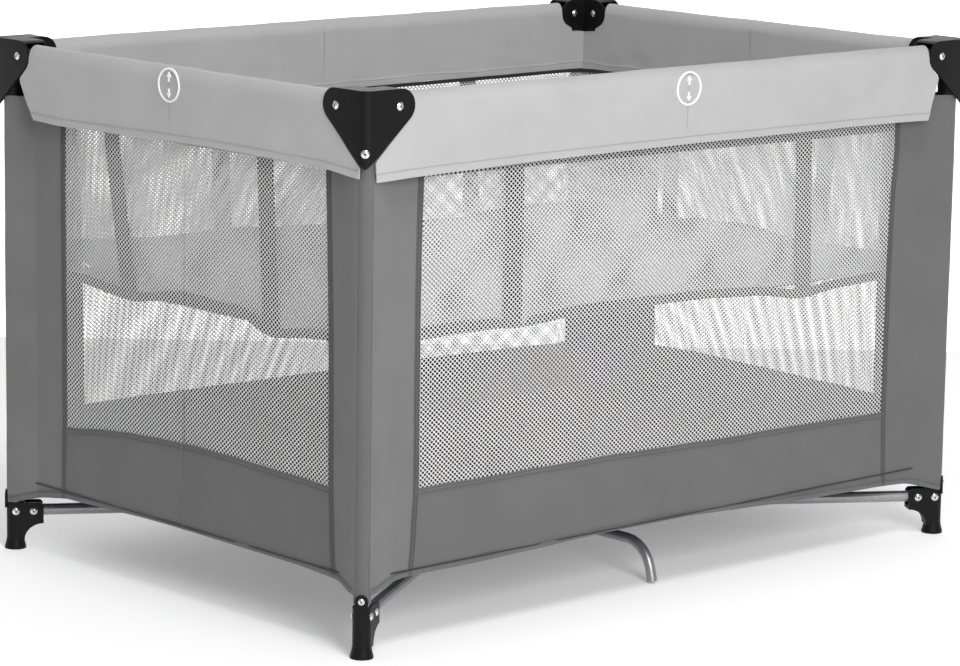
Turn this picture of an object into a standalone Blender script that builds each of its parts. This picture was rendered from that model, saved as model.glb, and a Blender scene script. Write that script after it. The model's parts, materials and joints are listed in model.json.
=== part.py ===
"""Travel play yard: a folding tube frame with net walls and a lift-out bassinet.

All sizes are in metres. X runs along the long side, the front faces -Y and Z is up. The
origin lies on the floor, midway between the four legs.
"""

import math

import bmesh
import bpy
from mathutils import Matrix, Vector

# Overall size: spacing of the leg axes and height of the corner brackets
LEG_SPACING_LONG = 1.075
LEG_SPACING_SHORT = 0.740
HEIGHT = 0.710

# Tubes
LEG_R = 0.0095
RAIL_R = 0.0095
ARM_R = 0.008
SUPPORT_R = 0.007
TUBE_WALL = 0.0012
TUBE_SIDES = 16
LINK_SIDES = 12

# Fits: seated neighbours, turning or sliding pieces, pins
GAP = 0.0003
RUN = 0.0006
PIN_R = 0.0028
PIN_SIDES = 10
PIN_BITE = 0.001

# Fold linkage: distance of each pivot from the leg axis or from the rail middle
RAIL_PIVOT = 0.0375
LATCH_PIVOT = 0.0225
FOOT_PIVOT = 0.025
STUB = 0.009
RAIL_DROP = 0.0215
ARM_Z = 0.0535
CHEEK = 0.003

# Moulded feet
FOOT_R = 0.012
FLARE_R = 0.015
FOOT_TOP = 0.066
SOCKET_FLOOR = 0.016
EAR_END = 0.0385
EAR_LOW = 0.036
GUSSET_LOW = 0.013
TAB_R = 0.0085
TAB_Z = 0.0745

# Moulded corner brackets
SHELL = 0.018
SHELL_WALL = 0.003
SHELL_ROUND = 0.012
TOP_PLATE = 0.004
LOBE_R = 0.021
LOBE_AT = 0.041
LOBE_TURN = math.radians(-50)
TIP_DEPTH = 0.099
INNER_DEPTH = 0.048
BOSS_R = 0.0156
BOSS_DEPTH = 0.078
LEG_DEPTH = 0.010

# Latch and button at the middle of each rail
LATCH_WALL = 0.0022
LATCH_REACH = 0.0225
LATCH_TOP = 0.0055
LATCH_FLOOR = 0.0138
BUTTON_R = 0.006
BUTTON_DROP = 0.006
BUTTON_FLANGE = 0.0013
BUTTON_PROUD = 0.0022
BUTTON_LENGTH = 0.010

# Hub, its pull strap and the two support tubes
HUB_R = 0.072
HUB_PLATE_Z = 0.069
HUB_RIM = 0.005
HUB_CROWN_R = 0.044
STRAP_WIDTH = 0.025
STRAP_SPAN = 0.060
STRAP_RISE = 0.046
WEBBING = 0.0016
SUPPORT_AT = (0.012, 0.036)
SUPPORT_TIP = 0.330
SUPPORT_BEND_R = 0.045
SUPPORT_BEND = math.radians(75)

# Cloth shell
CLOTH = 0.002
WALL_INSET = 0.006
SLEEVE = 0.0015
SLEEVE_LOW = 0.088
HEM = 0.098
HEM_DIP = 0.008
BAND_TOP = 0.204
WING = 0.100
PANEL_DEPTH = 0.080
NET = 0.001
NET_STRAND = 0.004
NET_CELL = 0.105
COVER = 0.0018
COVER_R = 0.0170
COVER_DROP = 0.0015
COVER_OUTER_DEPTH = 0.106
COVER_INNER_DEPTH = 0.114
COVER_TUCK = 0.002
COVER_CORNER = 0.028
FLOOR_TOP = 0.099
FLOOR_INSET = 0.0075
FLOOR_CHAMFER = 0.014

# Bassinet and mattress pad
TUB_INSET = 0.026
TUB_ROUND = 0.030
TUB_LOW = 0.376
TUB_DEPTH = 0.110
HANGER_WIDTH = 0.030
HANGER_LONG = 0.265
HANGER_SHORT = 0.155
PAD_CLEAR = 0.006
PAD_EDGE = 0.020
PAD_CROWN = 0.008
PAD_TUCK = 0.006
PAD_CHANNEL = 0.007
PAD_ROUND = 0.009
PAD_FOLDS = 3

# Positions that follow from the sizes above
HALF_LONG = LEG_SPACING_LONG / 2
HALF_SHORT = LEG_SPACING_SHORT / 2
RAIL_Z = HEIGHT - RAIL_DROP
FOLD_OFFSET = RAIL_PIVOT + LATCH_PIVOT
RAIL_LONG = HALF_LONG - FOLD_OFFSET
RAIL_SHORT = HALF_SHORT - FOLD_OFFSET
ARM_LENGTH = math.hypot(RAIL_LONG, RAIL_SHORT)
ARM_ANGLE = math.atan2(RAIL_SHORT, RAIL_LONG)
ARM_WAY = Vector((math.cos(ARM_ANGLE), math.sin(ARM_ANGLE), 0.0))
HUB_PIN_X = FOLD_OFFSET - FOOT_PIVOT * ARM_WAY.x
HUB_PIN_Y = FOLD_OFFSET - FOOT_PIVOT * ARM_WAY.y
ARM_SLOT = ARM_R + RUN
SUPPORT_SLOT = SUPPORT_R + RUN
HOLE_R = PIN_R + RUN
LOBE_Z = HEIGHT - LOBE_R
LOBE_LOW = (LOBE_AT + LOBE_R * math.cos(LOBE_TURN), LOBE_Z + LOBE_R * math.sin(LOBE_TURN))
TIP_Z = HEIGHT - TIP_DEPTH
LATCH_SIDE = RAIL_R + RUN
FLOOR_LOW = FLOOR_TOP - CLOTH
HUB_TOP = FLOOR_LOW - GAP
PANEL_TOP = HEIGHT - PANEL_DEPTH
TUB_TOP = HEIGHT - TUB_DEPTH

CORNERS = {
    "front_left": (-1, -1),
    "front_right": (1, -1),
    "back_left": (-1, 1),
    "back_right": (1, 1),
}
SIDES = {
    "front": (0.0, Vector((0.0, -HALF_SHORT, RAIL_Z))),
    "right": (math.pi / 2, Vector((HALF_LONG, 0.0, RAIL_Z))),
    "back": (math.pi, Vector((0.0, HALF_SHORT, RAIL_Z))),
    "left": (-math.pi / 2, Vector((-HALF_LONG, 0.0, RAIL_Z))),
}
FINISHES = {
    "steel": ((0.62, 0.63, 0.64), 0.32, 0.9),
    "black_plastic": ((0.02, 0.02, 0.022), 0.42, 0.0),
    "light_cloth": ((0.56, 0.56, 0.56), 0.85, 0.0),
    "dark_cloth": ((0.14, 0.14, 0.145), 0.88, 0.0),
    "net": ((0.74, 0.74, 0.74), 0.8, 0.0),
    "white_cloth": ((0.78, 0.78, 0.77), 0.8, 0.0),
    "pad_cloth": ((0.36, 0.36, 0.37), 0.9, 0.0),
}


def finish(name):
    """Return the named material, made at its first use."""
    if name in bpy.data.materials:
        return bpy.data.materials[name]
    colour, roughness, metallic = FINISHES[name]
    material = bpy.data.materials.new(name)
    material.use_nodes = True
    shader = material.node_tree.nodes["Principled BSDF"]
    shader.inputs["Base Color"].default_value = (*colour, 1.0)
    shader.inputs["Roughness"].default_value = roughness
    shader.inputs["Metallic"].default_value = metallic
    return material


def closed(shape):
    """Point every face outward and hand the shape back."""
    bmesh.ops.recalc_face_normals(shape, faces=shape.faces)
    return shape


def band(shape, first, second):
    """Join two rings of equal count with quads."""
    count = len(first)
    for index in range(count):
        following = (index + 1) % count
        shape.faces.new((first[index], first[following], second[following], second[index]))


def prism(outline, low, high, axes="xyz"):
    """Extrude an outline on the first two named axes along the third."""
    order = ["xyz".index(name) for name in axes]
    shape = bmesh.new()
    ring = []
    for first, second in outline:
        point = Vector((0.0, 0.0, 0.0))
        point[order[0]] = first
        point[order[1]] = second
        point[order[2]] = low
        ring.append(shape.verts.new(point))
    lifted = bmesh.ops.extrude_face_region(shape, geom=[shape.faces.new(ring)])
    raised = [item for item in lifted["geom"] if isinstance(item, bmesh.types.BMVert)]
    rise = Vector((0.0, 0.0, 0.0))
    rise[order[2]] = high - low
    bmesh.ops.translate(shape, verts=raised, vec=rise)
    return closed(shape)


def box(low, high):
    """Return a box between two corners."""
    outline = [(low[0], low[1]), (high[0], low[1]), (high[0], high[1]), (low[0], high[1])]
    return prism(outline, low[2], high[2])


def tube(path, radius, wall=0.0, sides=TUBE_SIDES, across=(0.0, 1.0, 0.0)):
    """Sweep a round section along a flat path; without a wall it is a solid rod."""
    across = Vector(across)
    points = [Vector(point) for point in path]
    shape = bmesh.new()
    shells = []
    for reach in [radius, radius - wall] if wall else [radius]:
        rings = []
        for index, point in enumerate(points):
            ahead = points[min(index + 1, len(points) - 1)] - points[max(index - 1, 0)]
            upward = ahead.normalized().cross(across)
            ring = []
            for step in range(sides):
                turn = 2 * math.pi * (step + 0.5) / sides
                offset = across * math.cos(turn) + upward * math.sin(turn)
                ring.append(shape.verts.new(point + reach * offset))
            rings.append(ring)
        for first, second in zip(rings, rings[1:]):
            band(shape, first, second)
        shells.append(rings)
    for end in (0, -1):
        if wall:
            band(shape, shells[0][end], shells[1][end])
        else:
            shape.faces.new(shells[0][end])
    return closed(shape)


def turned(profile, sides):
    """Spin a profile of radius and height pairs about Z; both its ends lie on the axis."""
    shape = bmesh.new()
    verts = [shape.verts.new((radius, 0.0, height)) for radius, height in profile]
    edges = [shape.edges.new(pair) for pair in zip(verts, verts[1:])]
    bmesh.ops.spin(
        shape, geom=verts + edges, cent=(0, 0, 0), axis=(0, 0, 1),
        angle=2 * math.pi, steps=sides, use_merge=True,
    )
    bmesh.ops.remove_doubles(shape, verts=shape.verts, dist=1e-5)
    return closed(shape)


def arc(centre, radius, start, end, steps):
    """Return points on an arc; the radius may be one value or one for each axis."""
    wide, tall = radius if isinstance(radius, tuple) else (radius, radius)
    points = []
    for step in range(steps + 1):
        turn = start + (end - start) * step / steps
        points.append((centre[0] + wide * math.cos(turn), centre[1] + tall * math.sin(turn)))
    return points


def rounded_rectangle(half_x, half_y, radius, steps=5):
    """Return the outline of a rectangle with round corners."""
    outline = []
    for quarter, (sign_x, sign_y) in enumerate(((1, 1), (-1, 1), (-1, -1), (1, -1))):
        centre = (sign_x * (half_x - radius), sign_y * (half_y - radius))
        start = quarter * math.pi / 2
        outline += arc(centre, radius, start, start + math.pi / 2, steps)
    return outline


def ribbon(path, thickness, starts, ends):
    """Give a path on Y and Z a thickness and carry it along X between two edges."""
    points = [Vector(point) for point in path]
    shape = bmesh.new()
    rows = []
    for index, point in enumerate(points):
        ways = []
        for first, second in ((index - 1, index), (index, index + 1)):
            if first >= 0 and second < len(points):
                ways.append((points[second] - points[first]).normalized())
        ahead = sum(ways, Vector((0.0, 0.0))).normalized()
        side = Vector((-ahead.y, ahead.x)) * (thickness / 2) / max(ahead.dot(ways[0]), 0.5)
        row = []
        for edge in (starts[index], ends[index]):
            for place in (point + side, point - side):
                row.append(shape.verts.new((edge, place.x, place.y)))
        rows.append([row[0], row[1], row[3], row[2]])
    for first, second in zip(rows, rows[1:]):
        band(shape, first, second)
    shape.faces.new(rows[0])
    shape.faces.new(rows[-1])
    return closed(shape)


def scratch(shape):
    """Turn a shape into a loose object for a boolean step."""
    mesh = bpy.data.meshes.new("scratch")
    shape.to_mesh(mesh)
    shape.free()
    item = bpy.data.objects.new("scratch", mesh)
    bpy.context.scene.collection.objects.link(item)
    return item


def combined(base, changes):
    """Add or take away shapes from a base shape, in order."""
    body = scratch(base)
    for operation, shape in changes:
        tool = scratch(shape)
        step = body.modifiers.new("step", "BOOLEAN")
        step.operation = operation
        step.solver = "EXACT"
        step.object = tool
        graph = bpy.context.evaluated_depsgraph_get()
        body.data = bpy.data.meshes.new_from_object(body.evaluated_get(graph))
        body.modifiers.clear()
        bpy.data.objects.remove(tool)
    result = bmesh.new()
    result.from_mesh(body.data)
    bpy.data.objects.remove(body)
    bmesh.ops.remove_doubles(result, verts=result.verts, dist=2e-6)
    bmesh.ops.dissolve_degenerate(result, edges=result.edges, dist=2e-6)
    return closed(result)


def place(name, shape, look, matrix, origin, parent=None, smooth=30.0):
    """Set a copy of a shape as a named object with its origin at the given point."""
    mesh = bpy.data.meshes.new(name)
    shape.to_mesh(mesh)
    mesh.transform(Matrix.Translation(-Vector(origin)) @ matrix)
    if matrix.determinant() < 0:
        mesh.flip_normals()
    mesh.materials.clear()
    mesh.materials.append(finish(look))
    mesh.shade_smooth()
    mesh.set_sharp_from_angle(angle=math.radians(smooth))
    item = bpy.data.objects.new(name, mesh)
    bpy.context.scene.collection.objects.link(item)
    item.location = origin
    if parent is not None:
        item.parent = parent
        item.location = Vector(origin) - parent.location
    return item


def axis_point(name, location):
    """Set an empty on a joint axis."""
    empty = bpy.data.objects.new(name, None)
    empty.empty_display_size = 0.02
    empty.location = location
    bpy.context.scene.collection.objects.link(empty)
    return empty


def corner_matrix(sign_x, sign_y):
    """Map the corner frame, X and Y inward from the leg axis, into the yard."""
    shift = Matrix.Translation((sign_x * HALF_LONG, sign_y * HALF_SHORT, 0.0))
    return shift @ Matrix.Diagonal((-sign_x, -sign_y, 1.0, 1.0))


def side_matrix(sign_x, sign_y, long_side):
    """Map a half side's frame, X along the rail and Y inward, into the yard."""
    swap = Matrix(((0, 1, 0, 0), (1, 0, 0, 0), (0, 0, 1, 0), (0, 0, 0, 1)))
    matrix = corner_matrix(sign_x, sign_y)
    return matrix if long_side else matrix @ swap


def bracket_edge(height):
    """Return how far a bracket's outer cheek reaches along the side at a height."""
    if height >= LOBE_LOW[1]:
        rise = min(abs(height - LOBE_Z), LOBE_R)
        return LOBE_AT + math.sqrt(LOBE_R**2 - rise**2)
    share = (height - TIP_Z) / (LOBE_LOW[1] - TIP_Z)
    return -SHELL + share * (LOBE_LOW[0] + SHELL)


def make_leg():
    """Return one leg tube."""
    ends = [(0, 0, SOCKET_FLOOR + GAP), (0, 0, HEIGHT - LEG_DEPTH - GAP)]
    return tube(ends, LEG_R, TUBE_WALL)


def make_foot():
    """Return one moulded foot with its ear, slot, pin and fabric tab."""
    post = turned(
        [
            (0.0, 0.0), (FLARE_R, 0.0), (FLARE_R, 0.003), (FOOT_R + 0.001, 0.010),
            (FOOT_R, 0.016), (FOOT_R, FOOT_TOP), (0.0, FOOT_TOP),
        ],
        TUBE_SIDES,
    )
    half = ARM_SLOT + CHEEK
    gusset_size = (EAR_END - FOOT_R, EAR_LOW - GUSSET_LOW)
    gusset = arc((EAR_END, GUSSET_LOW), gusset_size, math.pi / 2, math.pi, 6)
    crown = arc((EAR_END - 0.006, FOOT_TOP - 0.0065), 0.006, 0.0, math.pi / 2, 4)
    profile = [(0.002, GUSSET_LOW), (0.002, FOOT_TOP - 0.0005)] + crown[::-1] + gusset
    ear = prism(profile, -half, half, "xzy")
    slot_floor = ARM_Z - math.hypot(STUB, ARM_R) - RUN
    slot = box((FOOT_R + RUN, -ARM_SLOT, slot_floor), (EAR_END + 0.01, ARM_SLOT, HEIGHT))
    reach = ARM_SLOT + PIN_BITE
    pin = tube(
        [(FOOT_PIVOT, -reach, ARM_Z), (FOOT_PIVOT, reach, ARM_Z)],
        PIN_R, sides=PIN_SIDES, across=(0, 0, 1),
    )
    for shape in (ear, slot, pin):
        bmesh.ops.rotate(shape, verts=shape.verts, matrix=Matrix.Rotation(ARM_ANGLE, 3, "Z"))
    crest = arc((0.0, TAB_Z), TAB_R, 0.0, math.pi, 8)
    outline = [(-TAB_R, FOOT_TOP - 0.008), (TAB_R, FOOT_TOP - 0.008)] + crest
    tab = prism(outline, -LEG_R - RUN - CHEEK, -LEG_R - RUN, "xzy")
    bmesh.ops.rotate(tab, verts=tab.verts, matrix=Matrix.Rotation(-math.pi / 4, 3, "Z"))
    bore = tube([(0, 0, SOCKET_FLOOR), (0, 0, HEIGHT)], LEG_R + GAP)
    changes = [("UNION", ear), ("UNION", tab), ("DIFFERENCE", slot)]
    changes += [("DIFFERENCE", bore), ("UNION", pin)]
    return combined(post, changes)


def shell_plan(outer, wall, reach):
    """Return the plan of a wall that turns the corner with a round outside."""
    centre = (SHELL_ROUND - outer, SHELL_ROUND - outer)
    outside = arc(centre, SHELL_ROUND, 1.5 * math.pi, math.pi, 6)
    inside = arc(centre, SHELL_ROUND - wall, math.pi, 1.5 * math.pi, 6)
    return (
        [(reach, -outer)] + outside + [(-outer, reach), (wall - outer, reach)]
        + inside + [(reach, wall - outer)]
    )


def side_cuts(outline, low, high):
    """Return the same cut for both arms of a corner."""
    return [("DIFFERENCE", prism(outline, low, high, axes)) for axes in ("xzy", "yzx")]


def make_bracket():
    """Return one corner bracket: lobed outer shell, inner cheeks, top, socket and pins."""
    far = LOBE_AT + LOBE_R + 0.01
    over = HEIGHT + 0.01
    reach = far - 0.005
    lobe = arc((LOBE_AT, LOBE_Z), LOBE_R, math.pi / 2, LOBE_TURN, 10)
    below = [(-SHELL, TIP_Z), (-SHELL - 0.01, TIP_Z - 0.01), (far, TIP_Z - 0.01)]
    outside = [(LOBE_AT, over)] + lobe + below + [(far, over)]
    shell = combined(
        prism(shell_plan(SHELL, SHELL_WALL, reach), TIP_Z, HEIGHT),
        side_cuts(outside, -SHELL - 0.01, SHELL_ROUND - SHELL),
    )
    inner = SHELL - SHELL_WALL
    inner_plan = [
        (reach, inner), (reach, SHELL), (SHELL, SHELL), (SHELL, reach), (inner, reach), (inner, inner),
    ]
    edge = SHELL - SHELL_WALL / 2
    top_plan = [(reach, -edge)] + arc((-edge + 0.01, -edge + 0.01), 0.01, 1.5 * math.pi, math.pi, 5)
    top_plan += [(-edge, reach), (edge, reach), (edge, edge), (reach, edge)]
    small = LOBE_R - 0.0004
    lobe = arc((LOBE_AT, LOBE_Z), small, math.pi / 2, -math.pi / 2, 14)
    round_end = [(LOBE_AT, over)] + lobe + [(LOBE_AT, TIP_Z), (far, TIP_Z), (far, over)]
    boss = tube([(0, 0, HEIGHT - BOSS_DEPTH), (0, 0, HEIGHT - 0.001)], BOSS_R)
    changes = [
        ("UNION", prism(top_plan, HEIGHT - TOP_PLATE, HEIGHT - 0.0004)),
        *side_cuts(round_end, -SHELL - 0.01, SHELL + 0.01),
        ("UNION", boss),
        ("UNION", shell),
        ("DIFFERENCE", tube([(0, 0, TIP_Z - 0.02), (0, 0, HEIGHT - LEG_DEPTH)], LEG_R + GAP)),
    ]
    span = SHELL - SHELL_WALL + PIN_BITE
    for pin, across in (
        ([(RAIL_PIVOT, -span, RAIL_Z), (RAIL_PIVOT, span, RAIL_Z)], (0, 0, 1)),
        ([(-span, RAIL_PIVOT, RAIL_Z), (span, RAIL_PIVOT, RAIL_Z)], (0, 0, 1)),
    ):
        changes.append(("UNION", tube(pin, PIN_R, sides=PIN_SIDES, across=across)))
    return combined(prism(inner_plan, HEIGHT - INNER_DEPTH, HEIGHT - 0.001), changes)


def make_linked_tube(length, radius):
    """Return a tube along X with a cross hole at each of its two pivots."""
    holes = []
    for pivot in (0.0, length):
        ends = [(pivot, -2 * radius, 0), (pivot, 2 * radius, 0)]
        holes.append(("DIFFERENCE", tube(ends, HOLE_R, sides=PIN_SIDES, across=(0, 0, 1))))
    ends = [(-STUB, 0, 0), (length + STUB, 0, 0)]
    return combined(tube(ends, radius, TUBE_WALL, LINK_SIDES), holes)


def make_latch():
    """Return the U channel that joins two rail halves, with its stop block and pins."""
    outer = LATCH_SIDE + LATCH_WALL
    inside = -LATCH_FLOOR
    low = inside - LATCH_WALL
    profile = [
        (-outer, low), (outer, low), (outer, LATCH_TOP), (LATCH_SIDE, LATCH_TOP),
        (LATCH_SIDE, inside), (-LATCH_SIDE, inside), (-LATCH_SIDE, LATCH_TOP), (-outer, LATCH_TOP),
    ]
    end = LATCH_PIVOT + LATCH_REACH
    clear = LATCH_PIVOT - math.hypot(STUB, RAIL_R) - RUN
    block = box((-clear, RUN, inside - 0.001), (clear, outer - 0.001, LATCH_TOP - 0.001))
    window_ends = [(0, -0.03, -BUTTON_DROP), (0, 0, -BUTTON_DROP)]
    window = tube(window_ends, BUTTON_R + RUN, sides=20, across=(1, 0, 0))
    changes = [("UNION", block), ("DIFFERENCE", window)]
    for side in (-1, 1):
        bite = LATCH_SIDE + PIN_BITE
        pin = [(side * LATCH_PIVOT, -bite, 0), (side * LATCH_PIVOT, bite, 0)]
        changes.append(("UNION", tube(pin, PIN_R, sides=PIN_SIDES, across=(0, 0, 1))))
    return combined(prism(profile, -end, end, "yzx"), changes)


def make_button():
    """Return one press button with the flange that keeps it in the latch."""
    face = -LATCH_SIDE - LATCH_WALL - BUTTON_PROUD
    flange = -LATCH_SIDE + RUN
    wide = BUTTON_R + BUTTON_FLANGE
    shape = turned(
        [
            (0.0, face), (BUTTON_R - 0.001, face), (BUTTON_R, face + 0.001), (BUTTON_R, flange),
            (wide, flange), (wide, flange + 0.0015), (BUTTON_R - 0.002, flange + 0.0015),
            (BUTTON_R - 0.002, face + BUTTON_LENGTH - 0.0005), (0.0, face + BUTTON_LENGTH - 0.0005),
        ],
        20,
    )
    turn = Matrix.Translation((0.0, 0.0, -BUTTON_DROP)) @ Matrix.Rotation(-math.pi / 2, 4, "X")
    bmesh.ops.transform(shape, verts=shape.verts, matrix=turn)
    return shape


def hub_clevis(pivot, angle, slot):
    """Return the two cheeks and the pin that carry one tube under the hub."""
    radius = STUB
    drop = arc((0.0, ARM_Z), radius, math.pi, 2 * math.pi, 8)
    outline = drop + [(radius, HUB_PLATE_Z + 0.001), (-radius, HUB_PLATE_Z + 0.001)]
    shapes = [prism(outline, -slot - CHEEK, -slot, "xzy"), prism(outline, slot, slot + CHEEK, "xzy")]
    reach = slot + PIN_BITE
    shapes.append(
        tube([(0, -reach, ARM_Z), (0, reach, ARM_Z)], PIN_R, sides=PIN_SIDES, across=(0, 0, 1))
    )
    matrix = Matrix.Translation((pivot[0], pivot[1], 0.0)) @ Matrix.Rotation(angle, 4, "Z")
    for shape in shapes:
        bmesh.ops.transform(shape, verts=shape.verts, matrix=matrix)
    return [("UNION", shape) for shape in shapes]


def make_hub():
    """Return the domed hub with a clevis for each arm and each support tube."""
    rim = HUB_PLATE_Z + HUB_RIM
    dome = arc((HUB_CROWN_R, rim), (HUB_R - HUB_CROWN_R - 0.006, HUB_TOP - rim), math.pi / 2, 0.0, 6)
    profile = [(0.0, HUB_TOP)] + dome + [(HUB_R, rim - 0.001), (HUB_R, HUB_PLATE_Z), (0.0, HUB_PLATE_Z)]
    changes = []
    for sign_x, sign_y in CORNERS.values():
        pivot = (sign_x * HUB_PIN_X, sign_y * HUB_PIN_Y)
        changes += hub_clevis(pivot, sign_x * sign_y * ARM_ANGLE, ARM_SLOT)
    for side in (-1, 1):
        pivot = (-side * SUPPORT_AT[0], side * SUPPORT_AT[1])
        changes += hub_clevis(pivot, math.pi / 2, SUPPORT_SLOT)
    return combined(turned(profile, 32), changes)


def make_support():
    """Return a support tube along X that bends down to the floor."""
    foot = SUPPORT_R * math.cos(SUPPORT_BEND) + GAP
    tail = ARM_Z - foot - SUPPORT_BEND_R * (1 - math.cos(SUPPORT_BEND))
    tail /= math.sin(SUPPORT_BEND)
    bend_width = SUPPORT_BEND_R * math.sin(SUPPORT_BEND) + tail * math.cos(SUPPORT_BEND)
    start = SUPPORT_TIP - SUPPORT_AT[1] - bend_width
    bend = arc((start, -SUPPORT_BEND_R), SUPPORT_BEND_R, math.pi / 2, math.pi / 2 - SUPPORT_BEND, 6)
    last = bend[-1]
    end = (last[0] + tail * math.cos(SUPPORT_BEND), last[1] - tail * math.sin(SUPPORT_BEND))
    path = [(-STUB, 0, 0)] + [(along, 0, up) for along, up in bend + [end]]
    hole = tube([(0, -0.02, 0), (0, 0.02, 0)], HOLE_R, sides=PIN_SIDES, across=(0, 0, 1))
    return combined(tube(path, SUPPORT_R, TUBE_WALL, LINK_SIDES), [("DIFFERENCE", hole)])


def make_pull_strap():
    """Return the webbing loop that stands on the hub."""
    low = HUB_TOP + GAP
    half = STRAP_SPAN / 2
    bend = 0.4 * STRAP_RISE
    arch = arc((0.0, low + STRAP_RISE - bend), (half, bend), 0.0, math.pi, 12)
    path = [(half, low)] + arch + [(-half, low)]
    count = len(path)
    return ribbon(path, WEBBING, [-STRAP_WIDTH / 2] * count, [STRAP_WIDTH / 2] * count)


def make_corner_panel():
    """Return the cloth of one corner: leg sleeve, two wings and two half bands."""
    outer = LEG_R + GAP + SLEEVE
    sleeve = tube([(0, 0, SLEEVE_LOW), (0, 0, PANEL_TOP)], outer, SLEEVE)
    root = math.sqrt((outer - SLEEVE / 2) ** 2 - WALL_INSET**2)
    changes = []
    for half, axes in ((HALF_LONG, "xzy"), (HALF_SHORT, "yzx")):
        middle = half - RUN
        outline = [
            (root, HEM - HEM_DIP), (WING, HEM), (middle, HEM), (middle, BAND_TOP), (WING, BAND_TOP),
            (WING, PANEL_TOP), (root, PANEL_TOP),
        ]
        sheet = prism(outline, WALL_INSET - CLOTH / 2, WALL_INSET + CLOTH / 2, axes)
        changes.append(("UNION", sheet))
    return combined(sleeve, changes)


def make_net(half):
    """Return half a net wall between the corner panel and the middle of a side."""
    low = (WING + GAP, BAND_TOP + GAP)
    high = (half - RUN, PANEL_TOP)
    across = max(2, round((high[0] - low[0]) / NET_CELL))
    upward = max(2, round((high[1] - low[1]) / NET_CELL))
    shape = bmesh.new()
    grid = []
    for row in range(upward + 1):
        height = low[1] + (high[1] - low[1]) * row / upward
        line = []
        for column in range(across + 1):
            along = low[0] + (high[0] - low[0]) * column / across
            line.append(shape.verts.new((along, WALL_INSET - NET / 2, height)))
        grid.append(line)
    cells = []
    for lower, upper in zip(grid, grid[1:]):
        for column in range(across):
            corners = (lower[column], lower[column + 1], upper[column + 1], upper[column])
            cells.append(shape.faces.new(corners))
    shape.normal_update()
    bmesh.ops.inset_individual(shape, faces=cells, thickness=NET_STRAND / 2)
    bmesh.ops.delete(shape, geom=cells, context="FACES")
    lifted = bmesh.ops.extrude_face_region(shape, geom=list(shape.faces))
    raised = [item for item in lifted["geom"] if isinstance(item, bmesh.types.BMVert)]
    bmesh.ops.translate(shape, verts=raised, vec=(0.0, NET, 0.0))
    return closed(shape)


def make_cover(half):
    """Return half a rail cover: a sewn cap over the rail with two hanging flaps."""
    radius = COVER_R - COVER / 2
    axis_z = RAIL_Z - COVER_DROP
    outer_low = HEIGHT - COVER_OUTER_DEPTH
    inner_low = HEIGHT - COVER_INNER_DEPTH
    steps = 9
    path = []
    for step in range(steps):
        share = step / steps
        path.append((COVER_TUCK * (1 - share) - radius, outer_low + (axis_z - outer_low) * share))
    path += arc((0.0, axis_z), radius, math.pi, 0.0, 12)
    for step in range(1, steps + 1):
        share = step / steps
        path.append((radius - COVER_TUCK * share, axis_z + (inner_low - axis_z) * share))
    cheek_low = HEIGHT - INNER_DEPTH - (axis_z - inner_low) / steps
    starts = []
    for inward, height in path:
        if inward < 0 or height >= axis_z:
            edge = bracket_edge(height)
        else:
            edge = LOBE_AT + LOBE_R if height > cheek_low else LOBE_AT
        starts.append(max(edge + 2 * RUN, COVER_CORNER))
    return ribbon(path, COVER, starts, [half - RUN] * len(path))


def make_floor():
    """Return the cloth floor with chamfered corners and the slot for the pull strap."""
    half_x = HALF_LONG - FLOOR_INSET
    half_y = HALF_SHORT - FLOOR_INSET
    outline = []
    for sign_x, sign_y in ((1, 1), (-1, 1), (-1, -1), (1, -1)):
        near_x = (sign_x * (half_x - FLOOR_CHAMFER), sign_y * half_y)
        near_y = (sign_x * half_x, sign_y * (half_y - FLOOR_CHAMFER))
        outline += [near_y, near_x] if sign_x * sign_y > 0 else [near_x, near_y]
    slot_x = STRAP_WIDTH / 2 + 0.002
    slot_y = STRAP_SPAN / 2 + 0.005
    slot = box((-slot_x, -slot_y, 0.0), (slot_x, slot_y, HEIGHT))
    return combined(prism(outline, FLOOR_LOW, FLOOR_TOP), [("DIFFERENCE", slot)])


def make_bassinet():
    """Return the hanging insert: floor, four walls and eight webbing hangers."""
    half_x = HALF_LONG - TUB_INSET
    half_y = HALF_SHORT - TUB_INSET
    shape = bmesh.new()
    rings = []
    for inset, height in ((0.0, TUB_LOW), (0.0, TUB_TOP), (CLOTH, TUB_TOP), (CLOTH, TUB_LOW + CLOTH)):
        outline = rounded_rectangle(half_x - inset, half_y - inset, TUB_ROUND - inset)
        rings.append([shape.verts.new((x, y, height)) for x, y in outline])
    for first, second in zip(rings, rings[1:]):
        band(shape, first, second)
    shape.faces.new(rings[0])
    shape.faces.new(rings[-1])
    hook = RAIL_R + WEBBING
    face = TUB_INSET - WEBBING / 4
    step_z = HEIGHT - COVER_INNER_DEPTH - 0.010
    path = [(face, TUB_LOW + 0.002), (face, step_z - 0.008), (hook, step_z), (hook, step_z + 0.02)]
    path += arc((0.0, RAIL_Z), hook, 0.0, math.pi, 10)
    path.append((-hook, RAIL_Z - 0.003))
    changes = []
    for sign_x, sign_y in CORNERS.values():
        for half, along, long_side in (
            (HALF_LONG, HANGER_LONG, True),
            (HALF_SHORT, HANGER_SHORT, False),
        ):
            start = half - along - HANGER_WIDTH / 2
            hanger = ribbon(
                path, WEBBING, [start] * len(path), [start + HANGER_WIDTH] * len(path)
            )
            matrix = side_matrix(sign_x, sign_y, long_side)
            bmesh.ops.transform(hanger, verts=hanger.verts, matrix=matrix)
            changes.append(("UNION", closed(hanger)))
    return combined(closed(shape), changes)


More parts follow.
